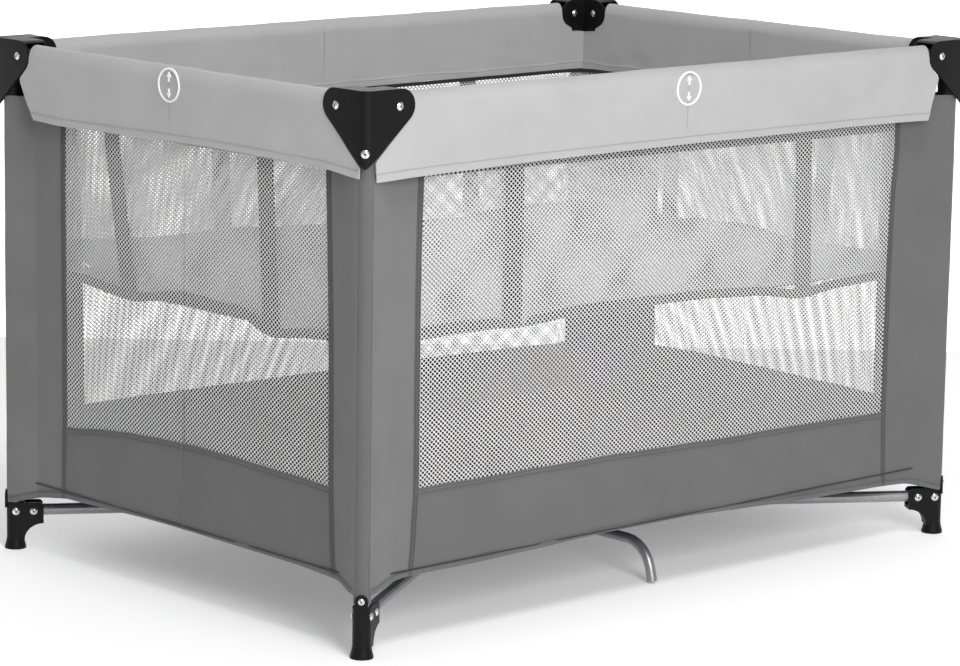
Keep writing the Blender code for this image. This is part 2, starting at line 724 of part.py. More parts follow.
def make_pad():
    """Return the mattress pad: crowned panels between fold lines, sides drawn in above and below."""
    half_x = HALF_LONG - TUB_INSET - CLOTH - PAD_CLEAR
    half_y = HALF_SHORT - TUB_INSET - CLOTH - PAD_CLEAR
    panels = PAD_FOLDS + 1
    low = TUB_LOW + CLOTH + GAP
    shape = bmesh.new()
    top = []
    for panel in range(panels):
        for share in (0.0, 0.08, 0.3, 0.7, 0.92, 1.0):
            if share == 1.0 and panel < panels - 1:
                continue
            along = (2 * (panel + share) / panels - 1) * (half_x - PAD_TUCK)
            line = []
            for row in (-1.0, -0.94, -0.6, 0.0, 0.6, 0.94, 1.0):
                swell = math.sqrt(max(math.sin(math.pi * share), 0.0)) * (1 - row**6)
                height = low + PAD_EDGE + PAD_CROWN * swell
                if share == 0.0 and panel > 0:
                    height -= PAD_CHANNEL
                pull = PAD_ROUND if abs(row) == 1.0 and (panel + share) % panels == 0.0 else 0.0
                x = math.copysign(abs(along) - pull, along)
                y = math.copysign(abs(row) * (half_y - PAD_TUCK) - pull, row)
                line.append(shape.verts.new((x, y, height)))
            top.append(line)
    for first, second in zip(top, top[1:]):
        for row in range(len(first) - 1):
            shape.faces.new((first[row], second[row], second[row + 1], first[row + 1]))
    rim = [line[0] for line in top] + top[-1][1:]
    rim += [line[-1] for line in top[-2::-1]] + top[0][-2:0:-1]
    wide = half_x / (half_x - PAD_TUCK)
    deep = half_y / (half_y - PAD_TUCK)
    belly = [shape.verts.new((v.co.x * wide, v.co.y * deep, low + PAD_EDGE / 2)) for v in rim]
    base = [shape.verts.new((v.co.x, v.co.y, low)) for v in rim]
    band(shape, rim, belly)
    band(shape, belly, base)
    shape.faces.new(base)
    return closed(shape)


def add_corners():
    """Place the pieces that stand on each leg and the rail halves pinned to it."""
    standing = {
        "leg": (make_leg(), "steel"),
        "foot": (make_foot(), "black_plastic"),
        "corner_bracket": (make_bracket(), "black_plastic"),
        "corner_panel": (make_corner_panel(), "dark_cloth"),
    }
    halves = {}
    for long_side, half, length in ((True, HALF_LONG, RAIL_LONG), (False, HALF_SHORT, RAIL_SHORT)):
        halves[long_side] = (make_net(half), make_linked_tube(length, RAIL_R), make_cover(half))
    for name, (sign_x, sign_y) in CORNERS.items():
        matrix = corner_matrix(sign_x, sign_y)
        fold_point = matrix @ (ARM_WAY * FOOT_PIVOT + Vector((0.0, 0.0, ARM_Z)))
        axis = axis_point(f"fold_axis_{name}", fold_point)
        for piece, (shape, look) in standing.items():
            place(f"{piece}_{name}", shape, look, matrix, matrix.translation, axis)
        end, side = name.split("_")
        for wall, half_name, long_side in ((end, side, True), (side, end, False)):
            net, rail, cover = halves[long_side]
            matrix = side_matrix(sign_x, sign_y, long_side)
            pivot = matrix @ Vector((RAIL_PIVOT, 0.0, RAIL_Z))
            along = matrix @ Matrix.Translation((RAIL_PIVOT, 0.0, RAIL_Z))
            place(f"net_{wall}_{half_name}", net, "net", matrix, matrix.translation, axis)
            place(f"rail_{wall}_{half_name}", rail, "steel", along, pivot)
            place(f"rail_cover_{wall}_{half_name}", cover, "light_cloth", matrix, pivot)


def add_latches():
    """Place the latch and its button at the middle of each rail."""
    latch = make_latch()
    button = make_button()
    for name, (angle, middle) in SIDES.items():
        matrix = Matrix.Translation(middle) @ Matrix.Rotation(angle, 4, "Z")
        pivot = matrix @ Vector((-LATCH_PIVOT, 0.0, 0.0))
        place(f"latch_{name}", latch, "black_plastic", matrix, pivot)
        place(f"latch_button_{name}", button, "black_plastic", matrix, middle)


def add_base():
    """Place the hub, its strap, the arms, the support tubes and the floor."""
    place("hub", make_hub(), "black_plastic", Matrix.Identity(4), (0.0, 0.0, ARM_Z))
    place("pull_strap", make_pull_strap(), "dark_cloth", Matrix.Identity(4), (0.0, 0.0, HUB_TOP))
    place("floor_panel", make_floor(), "dark_cloth", Matrix.Identity(4), (0.0, 0.0, FLOOR_LOW))
    arm = make_linked_tube(ARM_LENGTH, ARM_R)
    for name, (sign_x, sign_y) in CORNERS.items():
        angle = math.atan2(sign_y * ARM_WAY.y, sign_x * ARM_WAY.x)
        pivot = Vector((sign_x * HUB_PIN_X, sign_y * HUB_PIN_Y, ARM_Z))
        if name == "front_left":
            pivot += ARM_LENGTH * Vector((math.cos(angle), math.sin(angle), 0.0))
            angle += math.pi
        matrix = Matrix.Translation(pivot) @ Matrix.Rotation(angle, 4, "Z")
        place(f"arm_{name}", arm, "steel", matrix, pivot)
    support = make_support()
    for name, side in (("front", -1), ("back", 1)):
        pivot = Vector((-side * SUPPORT_AT[0], side * SUPPORT_AT[1], ARM_Z))
        matrix = Matrix.Translation(pivot) @ Matrix.Rotation(side * math.pi / 2, 4, "Z")
        place(f"support_{name}", support, "steel", matrix, pivot)


def main():
    """Build every piece of the play yard."""
    for item in list(bpy.data.objects):
        bpy.data.objects.remove(item)
    add_corners()
    add_latches()
    add_base()
    place("bassinet", make_bassinet(), "white_cloth", Matrix.Identity(4), (0.0, 0.0, TUB_LOW))
    place("mattress_pad", make_pad(), "pad_cloth", Matrix.Identity(4), (0.0, 0.0, TUB_LOW))


main()
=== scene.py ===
"""Looks of the travel play yard: cloth, nets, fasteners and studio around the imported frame."""

from __future__ import annotations

import json
import logging
import math
from collections.abc import Callable
from dataclasses import dataclass, field
from enum import Enum, IntEnum

import bmesh
import bpy
import numpy as np
from mathutils import Matrix, Vector

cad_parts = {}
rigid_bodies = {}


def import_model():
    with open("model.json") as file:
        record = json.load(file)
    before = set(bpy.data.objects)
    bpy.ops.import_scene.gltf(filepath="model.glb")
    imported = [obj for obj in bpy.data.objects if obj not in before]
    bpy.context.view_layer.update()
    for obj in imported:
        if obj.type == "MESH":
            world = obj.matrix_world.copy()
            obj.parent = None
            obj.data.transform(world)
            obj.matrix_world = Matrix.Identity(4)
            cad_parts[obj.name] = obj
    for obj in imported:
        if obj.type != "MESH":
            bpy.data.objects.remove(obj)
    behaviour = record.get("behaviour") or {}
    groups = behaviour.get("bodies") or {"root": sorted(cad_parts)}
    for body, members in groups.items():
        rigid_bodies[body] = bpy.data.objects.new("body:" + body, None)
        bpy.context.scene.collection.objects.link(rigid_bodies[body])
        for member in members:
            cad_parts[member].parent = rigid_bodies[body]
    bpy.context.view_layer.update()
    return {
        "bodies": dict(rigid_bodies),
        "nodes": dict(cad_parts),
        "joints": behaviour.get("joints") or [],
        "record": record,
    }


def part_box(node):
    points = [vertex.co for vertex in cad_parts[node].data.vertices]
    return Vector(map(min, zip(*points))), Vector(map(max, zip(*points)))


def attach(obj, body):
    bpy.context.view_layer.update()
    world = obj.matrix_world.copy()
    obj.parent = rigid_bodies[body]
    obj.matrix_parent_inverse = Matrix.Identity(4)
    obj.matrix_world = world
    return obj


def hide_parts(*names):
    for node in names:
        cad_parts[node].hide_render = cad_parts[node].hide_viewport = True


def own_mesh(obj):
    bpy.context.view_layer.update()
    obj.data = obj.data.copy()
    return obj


LOG = logging.getLogger("play_yard")
SHARP_ANGLE = math.radians(55)
# Half width of a stitch, and how far it stands out of the cloth and sinks into it.
STITCH_HALF = 0.0004
STITCH_PROUD = 0.00045
STITCH_SUNK = 0.0004
Colour = tuple[float, float, float]
Knots = tuple[tuple[float, float], ...]


# Finishes


class Weave(Enum):
    """How a cloth's threads show."""

    PLAIN = "plain"
    TWILL = "twill"


def mottled(
    name: str, colour: Colour, shades: tuple[float, float], scale: float, roughness: float
) -> tuple[bpy.types.Material, bpy.types.Node]:
    """Make a material whose colour wanders between two shades.

    Args:
        name: Name of the material.
        colour: Middle colour.
        shades: Factors of the darker and of the lighter shade.
        scale: Features of the noise per metre.
        roughness: Roughness of the surface.

    Returns:
        The material and its Principled shader.
    """
    material = bpy.data.materials.new(name)
    material.use_nodes = True
    tree = material.node_tree
    shader = tree.nodes["Principled BSDF"]
    shader.inputs["Roughness"].default_value = roughness
    place = tree.nodes.new("ShaderNodeTexCoord")
    noise = tree.nodes.new("ShaderNodeTexNoise")
    noise.inputs["Scale"].default_value = scale
    noise.inputs["Detail"].default_value = 4.0
    ramp = tree.nodes.new("ShaderNodeValToRGB")
    for element, factor, spot in zip(ramp.color_ramp.elements, shades, (0.3, 0.7)):
        element.color = (*(min(1.0, part * factor) for part in colour), 1.0)
        element.position = spot
    tree.links.new(place.outputs["Object"], noise.inputs["Vector"])
    tree.links.new(noise.outputs["Fac"], ramp.inputs["Fac"])
    tree.links.new(ramp.outputs["Color"], shader.inputs["Base Color"])
    return material, shader


def press(
    shader: bpy.types.Node, height: bpy.types.NodeSocket, strength: float, distance: float
) -> None:
    """Press a height into a shader's normal.

    Args:
        shader: The Principled shader.
        height: Output that gives the height.
        strength: Strength of the relief.
        distance: Depth of the relief in metres.
    """
    tree = shader.id_data
    bump = tree.nodes.new("ShaderNodeBump")
    bump.inputs["Strength"].default_value = strength
    bump.inputs["Distance"].default_value = distance
    tree.links.new(height, bump.inputs["Height"])
    tree.links.new(bump.outputs["Normal"], shader.inputs["Normal"])


@dataclass(frozen=True)
class ClothFinish:
    """Woven cloth with threads, a faint mottle and a little sheen."""

    name: str
    colour: Colour
    thread: float = 0.0011
    weave: Weave = Weave.PLAIN
    roughness: float = 0.86
    sheen: float = 0.12
    relief: float = 0.18
    mottle: float = 0.05
    blotch: float = 14.0

    def build(self) -> bpy.types.Material:
        """Build the finish.

        Returns:
            The material.
        """
        shades = (1.0 - self.mottle, 1.0 + self.mottle)
        material, shader = mottled(self.name, self.colour, shades, self.blotch, self.roughness)
        tree = material.node_tree
        shader.inputs["Sheen Weight"].default_value = self.sheen
        shader.inputs["Sheen Roughness"].default_value = 0.6
        shader.inputs["Specular IOR Level"].default_value = 0.25
        place = tree.nodes.new("ShaderNodeTexCoord")
        join = tree.nodes.new("ShaderNodeMath")
        join.operation = "MAXIMUM"
        warp = "DIAGONAL" if self.weave is Weave.TWILL else "X"
        for number, direction in enumerate((warp, "Y")):
            wave = tree.nodes.new("ShaderNodeTexWave")
            wave.bands_direction = direction
            wave.inputs["Scale"].default_value = 0.314 / self.thread
            wave.inputs["Distortion"].default_value = 0.6
            tree.links.new(place.outputs["UV"], wave.inputs["Vector"])
            tree.links.new(wave.outputs["Fac"], join.inputs[number])
        press(shader, join.outputs["Value"], self.relief, 0.0003)
        return material


@dataclass(frozen=True)
class PlasticFinish:
    """Moulded plastic with a fine grain."""

    name: str
    colour: Colour
    roughness: float = 0.42
    grain: float = 900.0
    relief: float = 0.12
    mottle: float = 0.12
    blotch: float = 60.0
    specular: float = 0.5
    glow: float = 0.0

    def build(self) -> bpy.types.Material:
        """Build the finish.

        Returns:
            The material.
        """
        shades = (1.0 - self.mottle, 1.0 + self.mottle)
        material, shader = mottled(self.name, self.colour, shades, self.blotch, self.roughness)
        tree = material.node_tree
        shader.inputs["Specular IOR Level"].default_value = self.specular
        shader.inputs["Emission Color"].default_value = (1.0, 1.0, 1.0, 1.0)
        shader.inputs["Emission Strength"].default_value = self.glow
        place = tree.nodes.new("ShaderNodeTexCoord")
        noise = tree.nodes.new("ShaderNodeTexNoise")
        noise.inputs["Scale"].default_value = self.grain
        tree.links.new(place.outputs["Object"], noise.inputs["Vector"])
        press(shader, noise.outputs["Fac"], self.relief, 0.0002)
        return material


@dataclass(frozen=True)
class MetalFinish:
    """Drawn or plated metal with a streaky sheen."""

    name: str
    colour: Colour
    metallic: float = 0.9
    roughness: float = 0.3
    streak: float = 160.0

    def build(self) -> bpy.types.Material:
        """Build the finish.

        Returns:
            The material.
        """
        material, shader = mottled(self.name, self.colour, (0.9, 1.08), self.streak, self.roughness)
        shader.inputs["Metallic"].default_value = self.metallic
        return material


Finish = ClothFinish | PlasticFinish | MetalFinish

COVER_CLOTH = ClothFinish("cover_cloth", (0.405, 0.405, 0.405), thread=0.0010, mottle=0.035)
DARK_CLOTH = ClothFinish("dark_cloth", (0.120, 0.120, 0.122), thread=0.0010, mottle=0.05)
# Painted light: a lighter copy of the dark cloth, for the corner wings that take more light.
LIT_WING_CLOTH = ClothFinish("lit_wing_cloth", (0.150, 0.150, 0.152), thread=0.0010, mottle=0.05)
BINDING_CLOTH = ClothFinish("binding_cloth", (0.085, 0.085, 0.087), thread=0.0013, weave=Weave.TWILL)
FLOOR_CLOTH = ClothFinish("floor_cloth", (0.022, 0.022, 0.023), thread=0.0012)
INSERT_CLOTH = ClothFinish("insert_cloth", (0.015, 0.015, 0.016), thread=0.0014, weave=Weave.TWILL)
PAD_CLOTH = ClothFinish("pad_cloth", (0.13, 0.13, 0.134), thread=0.0012, weave=Weave.TWILL)
WEB_CLOTH = ClothFinish("webbing_cloth", (0.018, 0.018, 0.018), thread=0.0018, weave=Weave.TWILL, relief=0.4)
LIGHT_THREAD = ClothFinish("light_thread", (0.30, 0.30, 0.30), thread=0.0006)
DARK_THREAD = ClothFinish("dark_thread", (0.075, 0.075, 0.077), thread=0.0006)
NET_THREAD = ClothFinish("net_thread", (0.62, 0.62, 0.62), thread=0.0005, sheen=0.3, mottle=0.02)
INSERT_NET = ClothFinish("insert_net_thread", (0.60, 0.60, 0.60), thread=0.0005, sheen=0.3, mottle=0.02)
ICON_PRINT = ClothFinish("icon_print", (0.90, 0.90, 0.90), thread=0.0010, mottle=0.02)
BLACK_PLASTIC = PlasticFinish("black_plastic", (0.006, 0.006, 0.0065), roughness=0.45, specular=0.15)
SILVER_TUBE = MetalFinish("silver_tube", (0.33, 0.33, 0.345), metallic=0.75, roughness=0.34)
SCREW_STEEL = MetalFinish("screw_steel", (0.82, 0.82, 0.83), metallic=1.0, roughness=0.22)
# Painted shade: dark colour for the inside of each screw head's recess.
RECESS_SHADE = PlasticFinish("screw_recess_shade", (0.12, 0.12, 0.125), roughness=0.5)
STUDIO_FLOOR = PlasticFinish(
    "studio_floor", (0.86, 0.86, 0.86), roughness=0.9, relief=0.0, mottle=0.004, specular=0.1, glow=0.24
)
STUDIO_BACK = PlasticFinish(
    "studio_back", (0.86, 0.86, 0.86), roughness=0.9, relief=0.0, mottle=0.004, glow=0.85
)


class Finishes:
    """Keeps one built material for each finish."""

    built: dict[str, bpy.types.Material] = {}

    @classmethod
    def get(cls, finish: Finish) -> bpy.types.Material:
        """Build a finish's material once.

        Args:
            finish: The finish.

        Returns:
            Its material.
        """
        if finish.name not in cls.built:
            cls.built[finish.name] = finish.build()
        return cls.built[finish.name]


# Geometry


def add_mesh(
    name: str,
    vertices: np.ndarray,
    faces: list,
    finish: Finish,
    uv: np.ndarray | None = None,
    turn: bool = True,
) -> bpy.types.Object:
    """Make a smooth mesh object.

    Args:
        name: Name of the object.
        vertices: One row for each vertex, in metres.
        faces: Vertex numbers of each face.
        finish: Finish of the whole mesh.
        uv: Flat cloth coordinates of each vertex in metres.
        turn: Whether to turn the faces of the closed mesh outward.

    Returns:
        The object, linked to the scene.
    """
    mesh = bpy.data.meshes.new(name)
    mesh.from_pydata(vertices.tolist(), [], faces)
    if uv is not None:
        layer = mesh.uv_layers.new(name="cut")
        spots = np.empty(len(mesh.loops), dtype=np.int32)
        mesh.loops.foreach_get("vertex_index", spots)
        layer.data.foreach_set("uv", uv[spots].astype(np.float32).ravel())
    if turn:
        shape = bmesh.new()
        shape.from_mesh(mesh)
        bmesh.ops.recalc_face_normals(shape, faces=shape.faces)
        shape.to_mesh(mesh)
        shape.free()
    mesh.polygons.foreach_set("use_smooth", np.ones(len(mesh.polygons), dtype=bool))
    if turn:
        mesh.set_sharp_from_angle(angle=SHARP_ANGLE)
    mesh.materials.append(Finishes.get(finish))
    mesh.update()
    thing = bpy.data.objects.new(name, mesh)
    bpy.context.scene.collection.objects.link(thing)
    return thing


def shell_faces(rows: int, columns: int, loop: bool = False) -> list:
    """Return the faces of a closed sheet: two grids of points and the rims between them.

    Args:
        rows: Rows of each grid.
        columns: Columns of each grid.
        loop: Whether the last column joins the first.

    Returns:
        Vertex numbers of each face, with the second grid numbered after the first.
    """
    shift = rows * columns
    number = np.arange(shift).reshape(rows, columns)
    if loop:
        number = np.concatenate([number, number[:, :1]], axis=1)
    a, b, c, d = number[:-1, :-1], number[1:, :-1], number[1:, 1:], number[:-1, 1:]
    faces = np.stack([a, b, c, d], axis=-1).reshape(-1, 4)
    every = [faces, faces[:, ::-1] + shift]
    for rim in [number[0], number[-1]] + ([] if loop else [number[:, 0], number[:, -1]]):
        every.append(np.stack([rim[:-1], rim[1:], rim[1:] + shift, rim[:-1] + shift], axis=-1))
    return np.concatenate(every).tolist()


def add_sheet(
    name: str, grid: np.ndarray, thickness: float, finish: ClothFinish, loop: bool = False
) -> bpy.types.Object:
    """Make a closed sheet of cloth from a grid of its middle surface.

    Args:
        name: Name of the object.
        grid: Points in rows and columns, shape (rows, columns, 3).
        thickness: Thickness of the cloth.
        finish: Finish of the cloth.
        loop: Whether the last column joins the first.

    Returns:
        The object.
    """
    down = np.gradient(grid, axis=0)
    if loop:
        across = np.roll(grid, -1, axis=1) - np.roll(grid, 1, axis=1)
    else:
        across = np.gradient(grid, axis=1)
    normal = np.cross(down, across)
    normal /= np.maximum(np.linalg.norm(normal, axis=2, keepdims=True), 1e-12)
    layers = [(grid + normal * half).reshape(-1, 3) for half in (thickness / 2, -thickness / 2)]
    long = np.linalg.norm(np.diff(grid, axis=0), axis=2).mean(axis=1)
    wide = np.linalg.norm(np.diff(grid, axis=1), axis=2).mean(axis=0)
    u, v = (np.concatenate([[0.0], np.cumsum(steps)]) for steps in (wide, long))
    flat = np.stack(np.meshgrid(u, v), axis=-1).reshape(-1, 2)
    faces = shell_faces(*grid.shape[:2], loop)
    return add_mesh(name, np.concatenate(layers), faces, finish, uv=np.concatenate([flat, flat]))


def curve_at(knots: Knots, spots: np.ndarray, soften: float = 0.02) -> np.ndarray:
    """Read a soft curve through knots.

    Args:
        knots: Pairs of place and value.
        spots: Places to read.
        soften: Half width over which the corners are rounded.

    Returns:
        One value for each place.
    """
    places, values = zip(*knots)
    spots = np.asarray(spots, dtype=float)
    shifts = np.linspace(-soften, soften, 7)
    return np.mean([np.interp(spots + shift, places, values) for shift in shifts], axis=0)


def ripple(first: np.ndarray, second: np.ndarray, seed: float) -> np.ndarray:
    """Make a gentle repeatable waviness.

    Args:
        first: First coordinate in metres.
        second: Second coordinate in metres.
        seed: Number that shifts the waves.

    Returns:
        Values between -1 and 1.
    """
    total = np.sin(19.0 * first + 7.0 * second + seed)
    total = total + 0.7 * np.sin(43.0 * first - 21.0 * second + 2.1 * seed)
    total = total + 0.45 * np.sin(88.0 * first + 52.0 * second + 3.7 * seed)
    total = total + 0.3 * np.sin(131.0 * second - 37.0 * first + 1.3 * seed)
    return total / 2.45


def stitch_row(points: np.ndarray, out: np.ndarray, length: float = 0.0034, gap: float = 0.0016) -> tuple:
    """Lay stitches along a line.

    Args:
        points: Line of points, one row each.
        out: Direction the stitches stand proud of the cloth.
        length: Length of a stitch.
        gap: Cloth between two stitches.

    Returns:
        Vertices and faces of all stitches.
    """
    steps = np.linalg.norm(np.diff(points, axis=0), axis=1)
    run = np.concatenate([[0.0], np.cumsum(steps)])
    starts = np.arange(gap, run[-1] - length, length + gap)
    ends = starts + length
    first = np.stack([np.interp(starts, run, points[:, axis]) for axis in range(3)], axis=1)
    last = np.stack([np.interp(ends, run, points[:, axis]) for axis in range(3)], axis=1)
    way = last - first
    way /= np.linalg.norm(way, axis=1, keepdims=True)
    side = np.cross(way, out) * STITCH_HALF
    high = out * STITCH_PROUD
    low = -out * STITCH_SUNK
    ring = [first + side + low, first - side + low, first - side * 0.5 + high, first + side * 0.5 + high]
    ring += [last + side + low, last - side + low, last - side * 0.5 + high, last + side * 0.5 + high]
    vertices = np.stack(ring, axis=1).reshape(-1, 3)
    pattern = np.array(
        [[0, 1, 2, 3], [7, 6, 5, 4], [0, 4, 5, 1], [1, 5, 6, 2], [2, 6, 7, 3], [3, 7, 4, 0]]
    )
    faces = (pattern[None] + 8 * np.arange(len(starts))[:, None, None]).reshape(-1, 4)
    return vertices, faces


def add_stitches(name: str, rows: list[tuple], finish: ClothFinish) -> bpy.types.Object:
    """Make one object of several rows of stitches.

    Args:
        name: Name of the object.
        rows: Results of stitch_row.
        finish: Finish of the thread.

    Returns:
        The object.
    """
    vertices, faces, count = [], [], 0
    for spots, loops in rows:
        vertices.append(spots)
        faces.append(loops + count)
        count += len(spots)
    return add_mesh(name, np.concatenate(vertices), np.concatenate(faces).tolist(), finish)


@dataclass(frozen=True)
class Knit:
    """Knitted net: round holes in staggered rows."""

    pitch: float = 0.0073
    rise: float = 0.0062
    hole: float = 0.64
    slant: float = 0.60
    round_holes: bool = True

    def cells(
        self, low: tuple[float, float], high: tuple[float, float], keep: Callable[..., np.ndarray]
    ) -> tuple[np.ndarray, list]:
        """Fill a flat region with net.

        Args:
            low: Lowest along and up of the region.
            high: Highest along and up of the region.
            keep: Function of along and up that tells which holes to keep.

        Returns:
            Flat vertices and faces.
        """
        half = np.array([self.pitch / 2, self.rise / 2])
        first = np.ceil(np.asarray(low) / half).astype(int)
        last = np.floor(np.asarray(high) / half).astype(int)
        column, row = np.meshgrid(np.arange(first[0], last[0] + 1), np.arange(first[1], last[1] + 1))
        column, row = column.ravel(), row.ravel()
        chosen = (column + row) % 2 == 0
        chosen &= keep(column * half[0], row * half[1])
        column, row = column[chosen], row[chosen]
        ways = np.array([[1, 0], [0, 1], [-1, 0], [0, -1]])
        centres = np.stack([column, row], axis=1)
        knots = centres[:, None, :] + ways[None]
        single, number = np.unique(knots.reshape(-1, 2), axis=0, return_inverse=True)
        number = number.reshape(-1, 4)
        spread = ways * self.hole
        if self.round_holes:
            slants = (ways + np.roll(ways, -1, axis=0)) * self.hole * self.slant
            spread = np.stack([spread, slants], axis=1).reshape(-1, 2)
        sides = len(spread)
        holes = ((centres[:, None, :] + spread[None]) * half).reshape(-1, 2)
        start = len(single) + sides * np.arange(len(centres))[:, None]
        faces = []
        for step in range(4):
            after = (step + 1) % 4
            ring = [number[:, step], number[:, after]]
            if self.round_holes:
                inner = [(2 * step + 2) % 8, 2 * step + 1, 2 * step]
            else:
                inner = [after, step]
            ring += [(start + spot)[:, 0] for spot in inner]
            faces.append(np.stack(ring, axis=1))
        return np.concatenate([single * half, holes]), np.concatenate(faces).tolist()


# Yard


@dataclass(frozen=True)
class YardSizes:
    """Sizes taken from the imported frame."""

    half_long: float
    half_short: float
    top: float
    rail_z: float
    cover_r: float
    cover_z: float
    floor_top: float
    tub: tuple[float, float, float, float]

    @classmethod
    def measure(cls) -> YardSizes:
        """Read the sizes from the frame's nodes.

        Returns:
            The sizes.
        """
        names = ("leg_back_right", "rail_back_right", "rail_cover_back_right", "corner_bracket_back_right")
        names += ("floor_panel", "mattress_pad")
        boxes = [[Vector(corner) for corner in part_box(name)] for name in names]
        leg, rail, cover, bracket, floor, tub = boxes
        half_long = (leg[0].x + leg[1].x) / 2
        half_short = (leg[0].y + leg[1].y) / 2
        cover_r = cover[1].y - half_short
        return cls(
            half_long, half_short, bracket[1].z, (rail[0].z + rail[1].z) / 2, cover_r,
            cover[1].z - cover_r, floor[1].z, (tub[1].x, tub[1].y, tub[0].z, tub[1].z),
        )


@dataclass(frozen=True)
class Shape:
    """How a wall's cloth runs along the wall, as seen in the photo."""

    hem: Knots
    band_top: Knots
    hidden_band_top: Knots
    cover_low: Knots
    near_edge: Knots
    far_edge: Knots
    near_end: Knots
    far_end: Knots
    far_seam: float


LONG_SHAPE = Shape(
    hem=(
        (-0.5375, 0.0815), (-0.515, 0.0835), (-0.49, 0.0875), (-0.463, 0.0912), (-0.335, 0.0910),
        (-0.123, 0.0960), (0.05, 0.0955), (0.198, 0.0885), (0.288, 0.0845), (0.4235, 0.0820), (0.49, 0.0785),
        (0.5375, 0.0635),
    ),
    band_top=((-0.46, 0.201), (-0.21, 0.200), (0.047, 0.195), (0.406, 0.189)),
    hidden_band_top=((-0.5375, 0.170), (-0.366, 0.176), (-0.206, 0.181), (0.1, 0.186), (0.45, 0.190)),
    cover_low=(
        (-0.5375, 0.597), (-0.49, 0.599), (-0.229, 0.603), (0.025, 0.6035), (0.407, 0.602), (0.476, 0.600),
    ),
    near_edge=((0.085, 0.0865), (0.12, 0.0905), (0.20, 0.0955), (0.50, 0.0953), (0.59, 0.0975)),
    far_edge=((0.085, 0.108), (0.19, 0.1132), (0.35, 0.1118), (0.42, 0.1102), (0.49, 0.1086), (0.56, 0.1027)),
    near_end=((0.597, 0.0035), (0.6275, 0.0015)),
    far_end=((0.600, 0.0613), (0.640, 0.0465), (0.658, 0.0407)),
    far_seam=0.046,
)
SHORT_SHAPE = Shape(
    hem=(
        (-0.37, 0.0820), (-0.35, 0.0837), (-0.331, 0.0872), (-0.30, 0.0900), (-0.25, 0.0925), (-0.12, 0.0945),
        (0.078, 0.0950), (0.197, 0.0910), (0.275, 0.0887), (0.325, 0.0800), (0.37, 0.0655),
    ),
    band_top=(
        (-0.317, 0.203), (-0.24, 0.207), (-0.119, 0.209), (-0.019, 0.210), (0.125, 0.2044), (0.254, 0.1875),
    ),
    hidden_band_top=(
        (-0.37, 0.186), (-0.193, 0.190), (-0.097, 0.192), (0.109, 0.189), (0.276, 0.184), (0.37, 0.182),
    ),
    cover_low=((-0.369, 0.602), (-0.321, 0.608), (-0.062, 0.610), (0.232, 0.603), (0.299, 0.605)),
    near_edge=(
        (0.085, 0.0655), (0.12, 0.0685), (0.206, 0.0725), (0.376, 0.0738), (0.50, 0.0775), (0.592, 0.081),
    ),
    far_edge=((0.085, 0.111), (0.203, 0.1145), (0.59, 0.1135)),
    near_end=((0.602, -0.0055), (0.625, -0.0050)),
    far_end=((0.605, 0.0729), (0.635, 0.052), (0.655, 0.0407)),
    far_seam=0.047,
)
# The back right corner's panel lies almost wholly on the right wall.
BACK_RIGHT_EDGE = (0.020, 0.175)


@dataclass(frozen=True)
class HalfSide:
    """One half of a wall, from a leg to the middle."""

    sizes: YardSizes
    sign_x: int
    sign_y: int
    long_side: bool

    @property
    def corner(self) -> str:
        """Name of the corner."""
        return f"{'front' if self.sign_y < 0 else 'back'}_{'left' if self.sign_x < 0 else 'right'}"

    @property
    def wall(self) -> str:
        """Name of the wall."""
        return self.corner.split("_")[0 if self.long_side else 1]

    @property
    def name(self) -> str:
        """Name of this half of the wall, as in the frame's nodes."""
        words = self.corner.split("_")
        return "_".join(words if self.long_side else words[::-1])

    @property
    def length(self) -> float:
        """Distance from the leg to the middle."""
        return self.sizes.half_long if self.long_side else self.sizes.half_short

    @property
    def near(self) -> bool:
        """Whether the wall's cloth starts at this half's leg."""
        return self.sign_x == self.sign_y

    @property
    def shape(self) -> Shape:
        """Run of the wall's cloth."""
        return LONG_SHAPE if self.long_side else SHORT_SHAPE

    @property
    def cover_middle(self) -> float:
        """Height of the cover's lower edge at the middle of the wall."""
        return float(curve_at(self.shape.cover_low, np.zeros(1))[0])

    @property
    def along(self) -> Vector:
        """Direction from the leg to the middle."""
        return Vector((-self.sign_x, 0, 0)) if self.long_side else Vector((0, -self.sign_y, 0))

    @property
    def out(self) -> np.ndarray:
        """Direction out of the yard."""
        return np.array([0.0, self.sign_y, 0.0] if self.long_side else [self.sign_x, 0.0, 0.0])

    @property
    def leg(self) -> Vector:
        """Foot of the leg's axis."""
        return Vector((self.sign_x * self.sizes.half_long, self.sign_y * self.sizes.half_short, 0.0))

    def run(self, along: np.ndarray) -> np.ndarray:
        """Return the place along the whole wall of a distance from the leg."""
        return along - self.length if self.near else self.length - along

    def from_leg(self, run: np.ndarray) -> np.ndarray:
        """Return the distance from the leg of a place along the whole wall."""
        return run + self.length if self.near else self.length - run

    def edge(self, height: np.ndarray) -> np.ndarray:
        """Find the window's edge.

        Args:
            height: Heights over the floor.

        Returns:
            Distances from the leg.
        """
        if self.corner == "back_right":
            return np.full(np.shape(height), BACK_RIGHT_EDGE[0 if self.long_side else 1])
        return curve_at(self.shape.near_edge if self.near else self.shape.far_edge, height, 0.012)

    def place(self, along: np.ndarray, inward: np.ndarray, up: np.ndarray) -> np.ndarray:
        """Turn distances from the leg into places in the yard.

        Args:
            along: Distances toward the middle of the wall.
            inward: Distances into the yard.
            up: Heights over the floor.

        Returns:
            Points, with a last axis of three.
        """
        along, inward, up = np.broadcast_arrays(along, inward, up)
        x, y = (along, inward) if self.long_side else (inward, along)
        x = self.sign_x * (self.sizes.half_long - x)
        y = self.sign_y * (self.sizes.half_short - y)
        return np.stack([x, y, up], axis=-1)


def half_sides(sizes: YardSizes) -> list[HalfSide]:
    """Return the eight halves of the walls."""
    signs = ((-1, -1), (1, -1), (1, 1), (-1, 1))
    return [HalfSide(sizes, *sign, long_side) for sign in signs for long_side in (True, False)]


